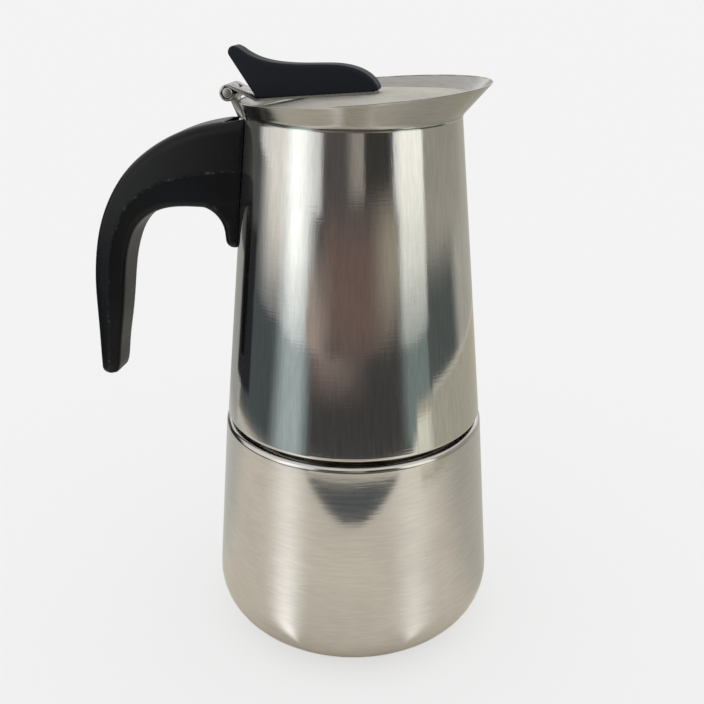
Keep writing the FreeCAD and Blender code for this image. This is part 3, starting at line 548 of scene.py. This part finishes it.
def neck_ring(share, inset):
    """A ring of the bend from the jug, at -1, over the mouth, at 0, to the flared collar, at 1."""
    points = []
    slope = (jug_foot_radius - jug_mouth_radius) / (mouth_level - jug_foot)
    for way in level_ring(1.0, 0):
        corner = way * (jug_mouth_radius - inset) + Vector((0, 0, mouth_level))
        below = corner + way * (slope * neck_reach) - Vector((0, 0, neck_reach))
        flare = on_rim(*(way * (rim_radius - inset))) - corner
        above = corner + flare.normalized() * neck_reach
        turn = (share + 1) / 2
        points.append(below.lerp(corner, turn).lerp(corner.lerp(above, turn), turn))
    return points


jug_steel = steel(
    "polished jug steel", (0.60, 0.595, 0.58), upright_marks, 0.075, 0.05, 0.07, 0.5, 0.2, round_marks)
jug_rings = []
for inset, hem_round in ((0, jug_hem_round), (jug_sheet, jug_hem_round - jug_sheet)):
    below = neck_ring(-1, inset)[0]
    skin = rounded_run([
        (jug_foot_radius - jug_hem, jug_foot + inset, 0),
        (jug_foot_radius - inset, jug_foot + inset, hem_round),
        (below.x, below.z, 0),
    ])
    rings = [level_ring(radius, height) for radius, height in skin]
    rings += [neck_ring(i / neck_steps - 1, inset) for i in range(1, neck_steps + 1)]
    jug_rings += rings[::-1] if inset else rings
give(add_piece("jug_tube", ringed_mesh("jug_tube", jug_rings)), jug_steel, "jug", "steel_body", "jug_wall")

base_sheet = 0.9 * mm
base_flange = 82.6 * mm
base_reach = 44.05 * mm
ring_radius = 38.3 * mm
land_level = 95.2 * mm
land_radius = 33.3 * mm
floor_level = 98.2 * mm
column_hole = 9.05 * mm
flange_round = 1.0 * mm
ring_top_round = 0.4 * mm
land_round = 1.0 * mm
floor_round = 1.2 * mm
thread_end_gap = 1.0 * mm
base_corners = [(base_reach, base_flange, 0), (ring_radius, base_flange, flange_round)]
ring_start = base_flange + flange_round
for row in range(1, int((land_level - ring_start) / thread_row) - 1):
    base_corners.append((ring_radius, ring_start + row * thread_row, 0))
base_corners += [
    (ring_radius, land_level, ring_top_round),
    (land_radius, land_level, land_round),
    (land_radius, floor_level, floor_round),
    (column_hole, floor_level, 0),
]
base_mesh = grow(
    turned_sheet("jug_floor", base_corners, -base_sheet), rolled_thread, inner_steel,
    Pitch=thread_pitch, Depth=thread_depth, Low=ring_start, High=land_level - thread_end_gap)
give(add_piece("jug_floor", base_mesh), inner_steel, "jug", "steel_inner", "jug_base")

# Coffee column: a tapered tube on the jug's floor with a pressed cap, whose two windows let
# the coffee out sideways.
give(smoothed_copy("column.finished", "coffee_column"), inner_steel, "jug", "steel_inner", "coffee_column")
give(smoothed_copy("cap.finished", "column_cap", 0.15 * mm), inner_steel, "jug", "steel_inner", "column_cap")

# Pouring collar: a flared oblique cone of sheet, welded to the jug's mouth. Its rim is tilted
# up towards the spout and has a rounded edge.
collar_sheet = 0.8 * mm
collar_rows = 10
edge_steps = 8
rim_edge_share = 0.96


def collar_ring(share, inset):
    """One ring of the straight flare, a share of the way from the bend to the rim."""
    starts = neck_ring(1, inset)
    ends = [on_rim(*(way * (rim_radius - inset))) for way in level_ring(1.0, 0)]
    return [start.lerp(end, share) for start, end in zip(starts, ends)]


def paint_gap_shade(material, mark, colour):
    """Painted shade where the mesh carries a mark, broken up by a fine noise."""
    tree = material.node_tree
    shader = tree.nodes["Principled BSDF"]
    own_colour = shader.inputs["Base Color"].links[0].from_socket
    place = tree.nodes.new("ShaderNodeTexCoord").outputs["Object"]
    marked = tree.nodes.new("ShaderNodeAttribute")
    marked.attribute_name = mark
    specks = add_node(tree, "ShaderNodeTexNoise", Vector=place, Scale=300.0, Detail=3.0)
    broken = add_node(
        tree, "ShaderNodeMapRange", Value=specks.outputs["Fac"], From_Min=0.30, From_Max=0.55)
    shaded_colour = tree.nodes.new("ShaderNodeMix")
    shaded_colour.data_type = "RGBA"
    tree.links.new(calc(tree, "MULTIPLY", marked.outputs["Fac"], broken.outputs[0]), shaded_colour.inputs["Factor"])
    tree.links.new(own_colour, shaded_colour.inputs[6])
    shaded_colour.inputs[7].default_value = (*colour, 1)
    tree.links.new(shaded_colour.outputs[2], shader.inputs["Base Color"])


# The collar's steel is a darker copy of the jug's: painted shade for the dim floor that its downward flare
# reflects.
collar_steel = steel(
    "collar steel with painted shade", (0.41, 0.40, 0.375), round_marks, 0.16, 0.10, 0.10, 0.14, 0.3)
# Painted shade: a thin dark brown line on the inner half of the rim's rounded edge, for the shaded gap
# behind the rim.
paint_gap_shade(collar_steel, "painted_shade", (0.10, 0.075, 0.055))
collar_rings = [(neck_ring(i / neck_steps, 0), 0) for i in range(neck_steps)]
collar_rings += [(collar_ring(rim_edge_share * i / collar_rows, 0), 0) for i in range(collar_rows + 1)]
for i in range(1, edge_steps):
    turn = math.pi * i / edge_steps
    share = rim_edge_share + (1 - rim_edge_share) * math.sin(turn)
    inset = collar_sheet * (1 - math.cos(turn)) / 2
    collar_rings.append((collar_ring(share, inset), 1 if i > edge_steps / 2 else 0))
for i in range(collar_rows, -1, -1):
    collar_rings.append((collar_ring(rim_edge_share * i / collar_rows, collar_sheet), 0))
for i in range(neck_steps - 1, -1, -1):
    collar_rings.append((neck_ring(i / neck_steps, collar_sheet), 0))
collar_mesh = ringed_mesh("collar", [ring for ring, mark in collar_rings])
# Points on the inner half of the rim's rounding carry the mark for that painted shade.
collar_shade_marks = [mark for ring, mark in collar_rings for point in ring]
collar_mesh.attributes.new("painted_shade", "FLOAT", "POINT").data.foreach_set("value", collar_shade_marks)
give(add_piece("collar", collar_mesh), collar_steel, "jug", "steel_body", "pouring_collar")

# Hinge: a bracket on the jug ends in a loop round the pin, and the lid's strap is rolled round
# the pin on both sides of it. All three are bare steel with broken cut edges and painted shade round the
# pin.
hinge_steel = steel(
    "bare hinge steel", (0.36, 0.355, 0.345), (500, 900, 500), 0.26, 0.12, 0.12, 0.06, 0.0)
# Near-black painted shade where the mesh is marked.
paint_gap_shade(hinge_steel, "painted_shade", (0.02, 0.02, 0.018))
hinge_bevel = 0.12 * mm
shade_mark_reach = 0.45 * mm
pin_low, pin_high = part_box("hinge_pin")
pin_middle = (pin_low + pin_high) / 2
pin_radius = (pin_high.x - pin_low.x) / 2
for source, body in (("handle_bracket", "jug"), ("hinge_pin", "jug"), ("lid_strap", "lid")):
    piece = smoothed_copy(source + ".finished", source, hinge_bevel)
    # Painted shade: points in a thin ring just outside the pin's radius are marked, for the shaded gap round
    # the pin.
    shade_marks = piece.data.attributes.new("painted_shade", "FLOAT", "POINT")
    for i, vertex in enumerate(piece.data.vertices):
        away = math.hypot(vertex.co.x - pin_middle.x, vertex.co.z - pin_middle.z) - pin_radius
        shade_marks.data[i].value = 1.0 if 0 < away < shade_mark_reach else 0.0
    give(piece, hinge_steel, body, "hinge_steel", source)

# Lid: a pressed disc with a flat middle for the knob, a sloping border and a small edge turned
# down inside the collar.
lid_sheet = 0.7 * mm
lid_radius = 35.65 * mm
lid_pad_radius = 17.0 * mm
lid_bend = 12.0 * mm
lid_sink = 1.2 * mm
lid_drop = 2.5 * mm
lid_lip = 0.8 * mm
lid_lip_round = 0.6 * mm
lid_shift = 2.39 * mm
lid_steel = steel(
    "satin lid steel", (0.62, 0.60, 0.55), round_marks, 0.72, 0.10, 0.10, 0.10, 0.0)
lid_corners = [
    (0, 0, 0),
    (lid_pad_radius, 0, lid_bend),
    (lid_radius, -lid_drop, lid_lip_round),
    (lid_radius, -lid_drop - lid_lip, 0),
]
lid_mesh = turned_sheet("lid_disc", lid_corners, -lid_sheet)
lid_seat = Matrix.Translation(on_rim((lid_shift - rim_shift) / math.cos(rim_tilt), 0, -lid_sink))
lid_place = lid_seat @ Matrix.Rotation(-rim_tilt, 4, "Y")
lid_mesh.transform(lid_place)
give(add_piece("lid_disc", lid_mesh), lid_steel, "lid", "steel_body", "lid")

# Knob: a black moulded fin with a thumb horn, held by two screws through lid and strap. Like
# the handle it is phenolic resin, semi-matt, with a fine grain and softly rounded edges.
knob_mesh_step = 0.3 * mm
soften_rounds = 4


def phenolic(name, colour, gloss, roughness):
    """Black moulded resin. Its ground-off parting ridge, marked on the mesh, is worn pale."""
    material = bpy.data.materials.new(name)
    material.use_nodes = True
    tree = material.node_tree
    shader = tree.nodes["Principled BSDF"]
    shader.inputs["Specular IOR Level"].default_value = gloss
    place = tree.nodes.new("ShaderNodeTexCoord").outputs["Object"]
    ridge = tree.nodes.new("ShaderNodeAttribute")
    ridge.attribute_name = "ridge"
    grain = add_node(tree, "ShaderNodeTexNoise", Vector=place, Scale=2600.0, Detail=3.0, Roughness=0.6)
    sheen = add_node(tree, "ShaderNodeTexNoise", Vector=place, Scale=90.0, Detail=4.0, Roughness=0.55)
    patches = add_node(tree, "ShaderNodeTexNoise", Vector=place, Scale=420.0, Detail=5.0, Roughness=0.75)
    worn = add_node(
        tree, "ShaderNodeMapRange", Value=patches.outputs["Fac"], From_Min=0.50, From_Max=0.68)
    rubbed = add_node(
        tree, "ShaderNodeMapRange", Value=sheen.outputs["Fac"], From_Min=0.38, From_Max=0.52)
    wear = calc(tree, "MULTIPLY", worn.outputs[0], calc(tree, "POWER", ridge.outputs["Fac"], 2.0))
    wear = calc(tree, "MULTIPLY", wear, rubbed.outputs[0])
    tint = tree.nodes.new("ShaderNodeMix")
    tint.data_type = "RGBA"
    tint.inputs[6].default_value = (*colour, 1)
    tint.inputs[7].default_value = (0.10, 0.10, 0.105, 1)
    tree.links.new(wear, tint.inputs["Factor"])
    tree.links.new(tint.outputs[2], shader.inputs["Base Color"])
    rough = add_node(
        tree, "ShaderNodeMapRange", Value=sheen.outputs["Fac"], From_Min=0.3, From_Max=0.7,
        To_Min=roughness - 0.04, To_Max=roughness + 0.04)
    tree.links.new(rough.outputs[0], shader.inputs["Roughness"])
    bump = add_node(
        tree, "ShaderNodeBump", Strength=0.12, Distance=grain_relief, Height=grain.outputs["Fac"])
    tree.links.new(bump.outputs[0], shader.inputs["Normal"])
    return material


def moulded_copy(name, source, mesh_step):
    """A solid as an evenly meshed moulding with softened edges."""
    piece = smoothed_copy(name, source)
    even = piece.modifiers.new("even", "REMESH")
    even.mode = "VOXEL"
    even.voxel_size = mesh_step
    soften = piece.modifiers.new("soften", "SMOOTH")
    soften.iterations = soften_rounds
    soften.factor = 0.5
    evaluated = piece.evaluated_get(bpy.context.evaluated_depsgraph_get())
    piece.data = bpy.data.meshes.new_from_object(evaluated)
    piece.modifiers.clear()
    shade_smooth(piece.data, 180)
    return piece


# The knob's copy of the resin is lighter and bluer than the handle's: painted light that stands in for the
# sheen its faces lose with the lower gloss.
knob_phenolic = phenolic("black phenolic, lighter knob copy", (0.0150, 0.0178, 0.0232), 0.05, 0.45)
knob = moulded_copy("thumb_knob", "lid_knob", knob_mesh_step)
give(knob, knob_phenolic, "lid", "black_phenolic", "lid_knob")

# Knob screws: two turned steel pan-head screws, put up through lid and strap into the knob. Each
# head lies under the lid and has a crossed driver recess.
screw_steel = plain_stuff(
    "turned screw steel", (0.44, 0.44, 0.44), (0.54, 0.54, 0.53), 1200, 0.28, 0.10, 1.0)
knob_screw_places = (-13.2 * mm, -3.4 * mm)
knob_screw_head = 1.4 * mm
knob_recess = (3.0 * mm, 0.7 * mm, 0.9 * mm)


def cross_recess_tree():
    """Cuts a crossed driver recess into the underside of a screw head."""
    tree, size = geometry_tree("cross recess", ("Length", "Width", "Depth", "X", "Y", "Z", "Tilt"))
    place = add_node(tree, "ShaderNodeCombineXYZ", X=size["X"], Y=size["Y"], Z=size["Z"])
    lean = add_node(tree, "ShaderNodeCombineXYZ", Y=size["Tilt"])
    height = calc(tree, "MULTIPLY", size["Depth"], 2.0)
    cut = tree.nodes.new("GeometryNodeMeshBoolean")
    cut.operation = "DIFFERENCE"
    tree.links.new(size["Geometry"], cut.inputs["Mesh 1"])
    for x, y in ((size["Length"], size["Width"]), (size["Width"], size["Length"])):
        extent = add_node(tree, "ShaderNodeCombineXYZ", X=x, Y=y, Z=height)
        slot = add_node(tree, "GeometryNodeMeshCube", Size=extent.outputs[0])
        seated = add_node(
            tree, "GeometryNodeTransform", Geometry=slot.outputs[0], Translation=place.outputs[0],
            Rotation=lean.outputs[0])
        tree.links.new(seated.outputs[0], cut.inputs["Mesh 2"])
    finish_tree(tree, cut.outputs["Mesh"], size["Material"])
    return tree


cross_recess = cross_recess_tree()


def recess(piece, place, tilt, length, width, depth):
    """Cuts one recess into a screw, at the middle of its head's face."""
    piece.data = grow(
        piece.data, cross_recess, screw_steel, Length=length, Width=width, Depth=depth,
        X=place.x, Y=place.y, Z=place.z, Tilt=tilt)
    shade_smooth(piece.data, 30)


knob_screws = smoothed_copy("knob_screws.finished", "knob_screws")
for place in knob_screw_places:
    head_face = lid_place @ Vector((place, 0, -lid_sheet - knob_screw_head))
    recess(knob_screws, head_face, -rim_tilt, *knob_recess)
give(knob_screws, screw_steel, "lid", "screw_steel", "knob_screws")

# Handle: a hook in the same black resin, slid over the bracket's tang and held by one screw.
# The ridge where the two halves of its mould met runs along both sides, ground off by hand.
handle_mesh_step = 0.45 * mm
ridge_step = 0.25 * mm
ridge_reach = 0.9 * mm
ridge_side = 0.9
ridge_lean = 0.01


def mark_ridge(piece, source):
    """Marks the points of a moulding that lie on the ridge along its sides."""
    build = bmesh.new()
    build.from_mesh(frame["nodes"][source].data)
    bmesh.ops.remove_doubles(build, verts=build.verts, dist=weld_distance)
    points = []
    for edge in build.edges:
        if len(edge.link_faces) != 2:
            continue
        first, last = (face.normal for face in edge.link_faces)
        facing_aside = min(abs(first.y), abs(last.y)) > ridge_side
        if facing_aside and first.x * last.x + first.z * last.z < -ridge_lean ** 2:
            start, end = (vert.co.copy() for vert in edge.verts)
            count = max(2, int((end - start).length / ridge_step))
            points += [start.lerp(end, i / count) for i in range(count + 1)]
    build.free()
    tree = kdtree.KDTree(len(points))
    for i, point in enumerate(points):
        tree.insert(point, i)
    tree.balance()
    marks = piece.data.attributes.new("ridge", "FLOAT", "POINT")
    for i, vertex in enumerate(piece.data.vertices):
        marks.data[i].value = max(0.0, 1 - tree.find(vertex.co)[2] / ridge_reach)


handle_phenolic = phenolic("black phenolic", (0.0034, 0.0037, 0.0052), 0.17, 0.30)
handle = moulded_copy("grip", "handle", handle_mesh_step)
mark_ridge(handle, "handle")
give(handle, handle_phenolic, "jug", "black_phenolic", "handle")

# Handle screw: one larger screw of the same kind, which holds the handle on the bracket's tang. Its
# head is sunk in a recess under the handle.
handle_recess = (4.2 * mm, 0.9 * mm, 1.4 * mm)
handle_screw = smoothed_copy("handle_screw.finished", "handle_screw")
screw_low, screw_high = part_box("handle_screw")
screw_face = (screw_low + screw_high) / 2
screw_face.z = screw_low.z
recess(handle_screw, screw_face, 0.0, *handle_recess)
give(handle_screw, screw_steel, "jug", "screw_steel", "handle_screw")

# Studio: a pale floor under a white room. Flat cards, which only reflections show, stand for
# a window, a lit strip, darker walls and the dark side that the camera looks from.
background = (0.896, 0.896, 0.896, 1)
floor_radius = 3.0
floor_drop = 0.2 * mm
floor_shade_share = 0.3
floor_glares = (
    ((-13.8 * mm, -48.0 * mm), -48, 17, 0.50),
    ((29.0 * mm, -40.5 * mm), 62, 20, 0.25),
)
glare_base = 0.8
glare_gain = 1.6
glare_reach = 50.0 * mm
glare_start = 14.0 * mm
shade_near = 0.184
shade_far = 0.244
shade_bearing = 9.5
shade_spread = 40
shade_flare = 0.55
shade_lift = 1.0 * mm


def floor_material():
    """White for the camera with the object's own soft shadow, pale warm in reflections."""
    material = bpy.data.materials.new("pale floor")
    material.use_nodes = True
    tree = material.node_tree
    tree.nodes.remove(tree.nodes["Principled BSDF"])
    white = add_node(tree, "ShaderNodeEmission", Color=background, Strength=1.0)
    shaded = add_node(tree, "ShaderNodeBsdfDiffuse", Color=(1, 1, 1, 1))
    seen = add_node(tree, "ShaderNodeMixShader", Fac=floor_shade_share)
    tree.links.new(white.outputs[0], seen.inputs[1])
    tree.links.new(shaded.outputs[0], seen.inputs[2])
    warm = add_node(tree, "ShaderNodeBsdfDiffuse", Color=(0.95, 0.89, 0.77, 1))
    place = tree.nodes.new("ShaderNodeTexCoord").outputs["Object"]
    split = add_node(tree, "ShaderNodeSeparateXYZ", Vector=place).outputs
    glare = None
    for start, middle, reach, strength in floor_glares:
        aside = calc(tree, "SUBTRACT", split["X"], start[0])
        ahead = calc(tree, "SUBTRACT", start[1], split["Y"])
        bearing = calc(tree, "DEGREES", calc(tree, "ARCTAN2", aside, ahead))
        away = calc(tree, "DIVIDE", calc(tree, "SUBTRACT", bearing, middle), reach)
        bell = calc(tree, "EXPONENT", calc(tree, "MULTIPLY", calc(tree, "MULTIPLY", away, away), -1.0))
        far = calc(tree, "SQRT", calc(tree, "ADD", calc(tree, "MULTIPLY", aside, aside),
                                      calc(tree, "MULTIPLY", ahead, ahead)))
        near = calc(tree, "EXPONENT", calc(tree, "DIVIDE", far, -glare_reach))
        gain = calc(tree, "ADD", calc(tree, "MULTIPLY", near, glare_gain), glare_base)
        onset = calc(tree, "MINIMUM", calc(tree, "DIVIDE", far, glare_start), 1.0)
        bell = calc(tree, "MULTIPLY", calc(tree, "MULTIPLY", bell, gain), onset)
        bell = calc(tree, "MULTIPLY", bell, strength)
        glare = bell if glare is None else calc(tree, "ADD", glare, bell)
    shine = add_node(tree, "ShaderNodeEmission", Color=(0.97, 1.0, 1.04, 1), Strength=glare)
    lit = tree.nodes.new("ShaderNodeAddShader")
    tree.links.new(warm.outputs[0], lit.inputs[0])
    tree.links.new(shine.outputs[0], lit.inputs[1])
    path = tree.nodes.new("ShaderNodeLightPath")
    both = add_node(tree, "ShaderNodeMixShader", Fac=path.outputs["Is Camera Ray"])
    tree.links.new(lit.outputs[0], both.inputs[1])
    tree.links.new(seen.outputs[0], both.inputs[2])
    tree.links.new(both.outputs[0], tree.nodes["Material Output"].inputs["Surface"])
    return material


floor_build = bmesh.new()
bmesh.ops.create_circle(floor_build, cap_ends=True, segments=96, radius=floor_radius)
bmesh.ops.translate(floor_build, verts=floor_build.verts, vec=(0, 0, -floor_drop))
floor_mesh = bpy.data.meshes.new("floor")
floor_build.to_mesh(floor_mesh)
floor_build.free()
floor = bpy.data.objects.new("floor", floor_mesh)
bpy.context.scene.collection.objects.link(floor)
floor.data.materials.append(floor_material())
floor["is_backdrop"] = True


def card_material(name, colour):
    """An even glow that fades out at the card's soft edges."""
    material = bpy.data.materials.new(name)
    material.use_nodes = True
    tree = material.node_tree
    tree.nodes.remove(tree.nodes["Principled BSDF"])
    glow = add_node(tree, "ShaderNodeEmission", Color=(*colour, 1), Strength=1.0)
    clear = tree.nodes.new("ShaderNodeBsdfTransparent")
    cover = tree.nodes.new("ShaderNodeAttribute")
    cover.attribute_name = "cover"
    both = add_node(tree, "ShaderNodeMixShader", Fac=cover.outputs["Fac"])
    tree.links.new(clear.outputs[0], both.inputs[1])
    tree.links.new(glow.outputs[0], both.inputs[2])
    tree.links.new(both.outputs[0], tree.nodes["Material Output"].inputs["Surface"])
    return material


def fade(share, start, end):
    """Rises from nought to one over the first part and falls over the last part."""
    rise = min(1.0, share / start) if start > 0 else 1.0
    fall = min(1.0, (1 - share) / end) if end > 0 else 1.0
    return rise * rise * (3 - 2 * rise) * fall * fall * (3 - 2 * fall)


def toward(bearing):
    """The level way to a bearing: degrees from the front, counted towards the spout."""
    turn = math.radians(bearing)
    return Vector((math.sin(turn), -math.cos(turn), 0))


def card(name, place, colour, soft):
    """A card that only reflections show. Its four edges are soft over shares of its size."""
    columns, rows = 48, 32
    points, covers, faces = [], [], []
    for j in range(rows + 1):
        for i in range(columns + 1):
            u, v = i / columns, j / rows
            points.append(place(u, v))
            covers.append(fade(u, soft[0], soft[1]) * fade(v, soft[2], soft[3]))
            if i and j:
                corner = j * (columns + 1) + i
                faces.append((corner - columns - 2, corner - columns - 1, corner, corner - 1))
    mesh = bpy.data.meshes.new(name)
    mesh.from_pydata(points, [], faces)
    mesh.attributes.new("cover", "FLOAT", "POINT").data.foreach_set("value", covers)
    mesh.materials.append(card_material(name, colour))
    made = bpy.data.objects.new(name, mesh)
    bpy.context.scene.collection.objects.link(made)
    made.visible_camera = False
    made.visible_diffuse = False
    made.visible_shadow = False
    made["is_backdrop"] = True


def wall(name, bearings, heights, away, colour, soft):
    """An upright flat card, square to the middle of its bearings."""
    middle = sum(bearings) / 2
    reach = away * math.tan(math.radians(bearings[1] - bearings[0]) / 2)
    side = toward(middle + 90) * reach

    def place(u, v):
        rise = Vector((0, 0, heights[0] + (heights[1] - heights[0]) * v))
        return toward(middle) * away + side * (2 * u - 1) + rise

    card(name, place, colour, soft)


def cloth(name, bearings, reaches, lift, colour, soft):
    """A cloth lying on the floor, a part of a ring round the pot."""

    def place(u, v):
        reach = reaches[0] * (reaches[1] / reaches[0]) ** v
        return toward(bearings[0] + (bearings[1] - bearings[0]) * u) * reach + Vector((0, 0, lift))

    card(name, place, colour, soft)


def shade_place(u, v):
    """A rounded wedge on the floor ahead: a tip near the pot, widening away from it."""
    reach = shade_near + (shade_far - shade_near) * v
    bearing = shade_bearing + shade_spread * (2 * u - 1) * v ** shade_flare
    return toward(bearing) * reach + Vector((0, 0, shade_lift))


for name, bearings, heights, away, colour, soft in (
        ("back_wall", (-182, -128), (0, 0.32), 0.66, (0.50, 0.49, 0.46), (0.1, 0.2, 0, 0.2)),
        ("back_glow", (145, 215), (0.27, 0.75), 0.80, (1.20, 1.19, 1.15), (0.25, 0.25, 0.25, 0.1)),
        ("handle_side", (-138, -90), (0, 0.34), 0.66, (0.11, 0.11, 0.105), (0.2, 0.3, 0, 0.2)),
        ("handle_shade", (-119, -91), (0, 0.115), 0.30, (0.03, 0.031, 0.036), (0.15, 0.07, 0.02, 0.1)),
        ("grey_wall", (80, 150), (0.005, 0.60), 0.66, (0.46, 0.435, 0.375), (0.03, 0.3, 0.12, 0.2)),
        ("lit_wall", (-98, -54), (-0.04, 0.60), 0.63, (1.12, 1.07, 0.99), (0.6, 0.2, 0.26, 0.1)),
        ("dark_front", (-24, 50), (0, 0.60), 0.61, (0.12, 0.11, 0.105), (0.12, 0.05, 0, 0.1)),
        ("brown_glow", (-22, 48), (-0.05, 0.160), 0.605, (0.215, 0.15, 0.128), (0.2, 0.1, 0.45, 0.35)),
        ("brown_left", (-38, -4), (-0.08, 0.130), 0.600, (0.52, 0.42, 0.37), (0.3, 0.7, 0.45, 0.5)),
        ("right_glow", (22, 52), (-0.02, 0.165), 0.595, (0.42, 0.38, 0.30), (0.75, 0.05, 0.6, 0.3)),
        ("window", (-66, -20), (-0.06, 0.60), 0.60, (1.80, 1.82, 1.76), (0.42, 0.6, 0.27, 0.1)),
        ("warm_strip", (48, 83), (-0.08, 0.60), 0.60, (1.48, 1.46, 1.33), (0.3, 0.12, 0.38, 0.1)),
        ("grey_strip", (0, 20.5), (0.140, 0.60), 0.59, (0.40, 0.36, 0.32), (0.6, 0.05, 0.04, 0.1)),
        ("dark_bar", (21, 46), (0.144, 0.60), 0.585, (0.06, 0.058, 0.052), (0.05, 0.15, 0.02, 0.1))):
    wall(name, bearings, heights, away, colour, soft)
for name, bearings, reaches, lift, colour, soft in (
        ("left_near", (-175, -80), (0.058, 0.25), 0.8 * mm, (0.60, 0.595, 0.55), (0.1, 0.3, 0.1, 0.05)),
        ("right_near", (72, 185), (0.054, 0.25), 0.8 * mm, (0.56, 0.54, 0.485), (0.3, 0.1, 0.05, 0.05)),
        ("pale_left", (-180, -106), (0.200, 2.0), 0.9 * mm, (0.42, 0.42, 0.39), (0.1, 0.1, 0.1, 0)),
        ("dark_left", (-112, -24), (0.245, 2.8), 1.0 * mm, (0.10, 0.115, 0.12), (0.08, 0.02, 0.04, 0)),
        ("dark_ahead", (-28, 62), (0.275, 2.8), 1.2 * mm, (0.075, 0.072, 0.070), (0.03, 0.05, 0.012, 0)),
        ("brown_ahead", (-36, 30), (0.40, 0.62), 1.3 * mm, (0.30, 0.235, 0.205), (0.3, 0.6, 0.9, 0)),
        ("cool_sheen", (-68, -24), (0.252, 2.8), 1.4 * mm, (0.55, 0.64, 0.65), (0.45, 0.35, 0.04, 0)),
        ("cool_right", (47, 82), (0.290, 2.8), 1.6 * mm, (0.24, 0.30, 0.29), (0.4, 0.02, 0.05, 0)),
        ("back_right", (115, 178), (0.380, 2.8), 1.7 * mm, (0.52, 0.50, 0.44), (0.3, 0.1, 0.02, 0)),
        ("dark_right", (78, 132), (0.390, 2.8), 1.8 * mm, (0.12, 0.135, 0.13), (0.03, 0.4, 0.02, 0)),
        ("pale_right", (63, 178), (0.200, 0.390), 2.0 * mm, (0.55, 0.52, 0.42), (0.03, 0.1, 0.2, 0.03)),
        ("bright_right", (63, 82), (0.215, 0.360), 2.2 * mm, (0.95, 0.94, 0.78), (0.08, 0.5, 0.2, 0.1))):
    cloth(name, bearings, reaches, lift, colour, soft)
card("front_shade", shade_place, (0.11, 0.12, 0.13), (0.06, 0.06, 0.05, 0.03))

room = bpy.data.worlds.new("white room")
bpy.context.scene.world = room
room.use_nodes = True
room.node_tree.nodes["Background"].inputs["Color"].default_value = background

# Camera: held close to the pot, a little above its lid, on the side across from the valve.
# It looks down on the pot, so the upright lines draw together towards the foot.
camera_lens = bpy.data.cameras.new("camera")
camera_lens.lens = 48.21
camera_lens.sensor_width = 36.0
camera_lens.clip_start = 0.01
camera = bpy.data.objects.new("camera", camera_lens)
bpy.context.scene.collection.objects.link(camera)
camera_place = Vector((0.055218, -0.305201, 0.227853))
camera_right = Vector((0.9836, 0.1803, 0.0012))
camera_up = Vector((-0.0689, 0.3698, 0.9265))
camera_turn = Matrix((camera_right, camera_up, camera_right.cross(camera_up))).transposed().to_4x4()
camera.matrix_world = Matrix.Translation(camera_place) @ camera_turn
bpy.context.scene.camera = camera
bpy.context.scene.view_settings.view_transform = "Standard"

# Sizes: the box of the solids and the box of the finished pieces, each as lists of corner values.
for name, corners in (("cad", cad_box), ("visual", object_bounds())):
    [list(corner) for corner in corners]
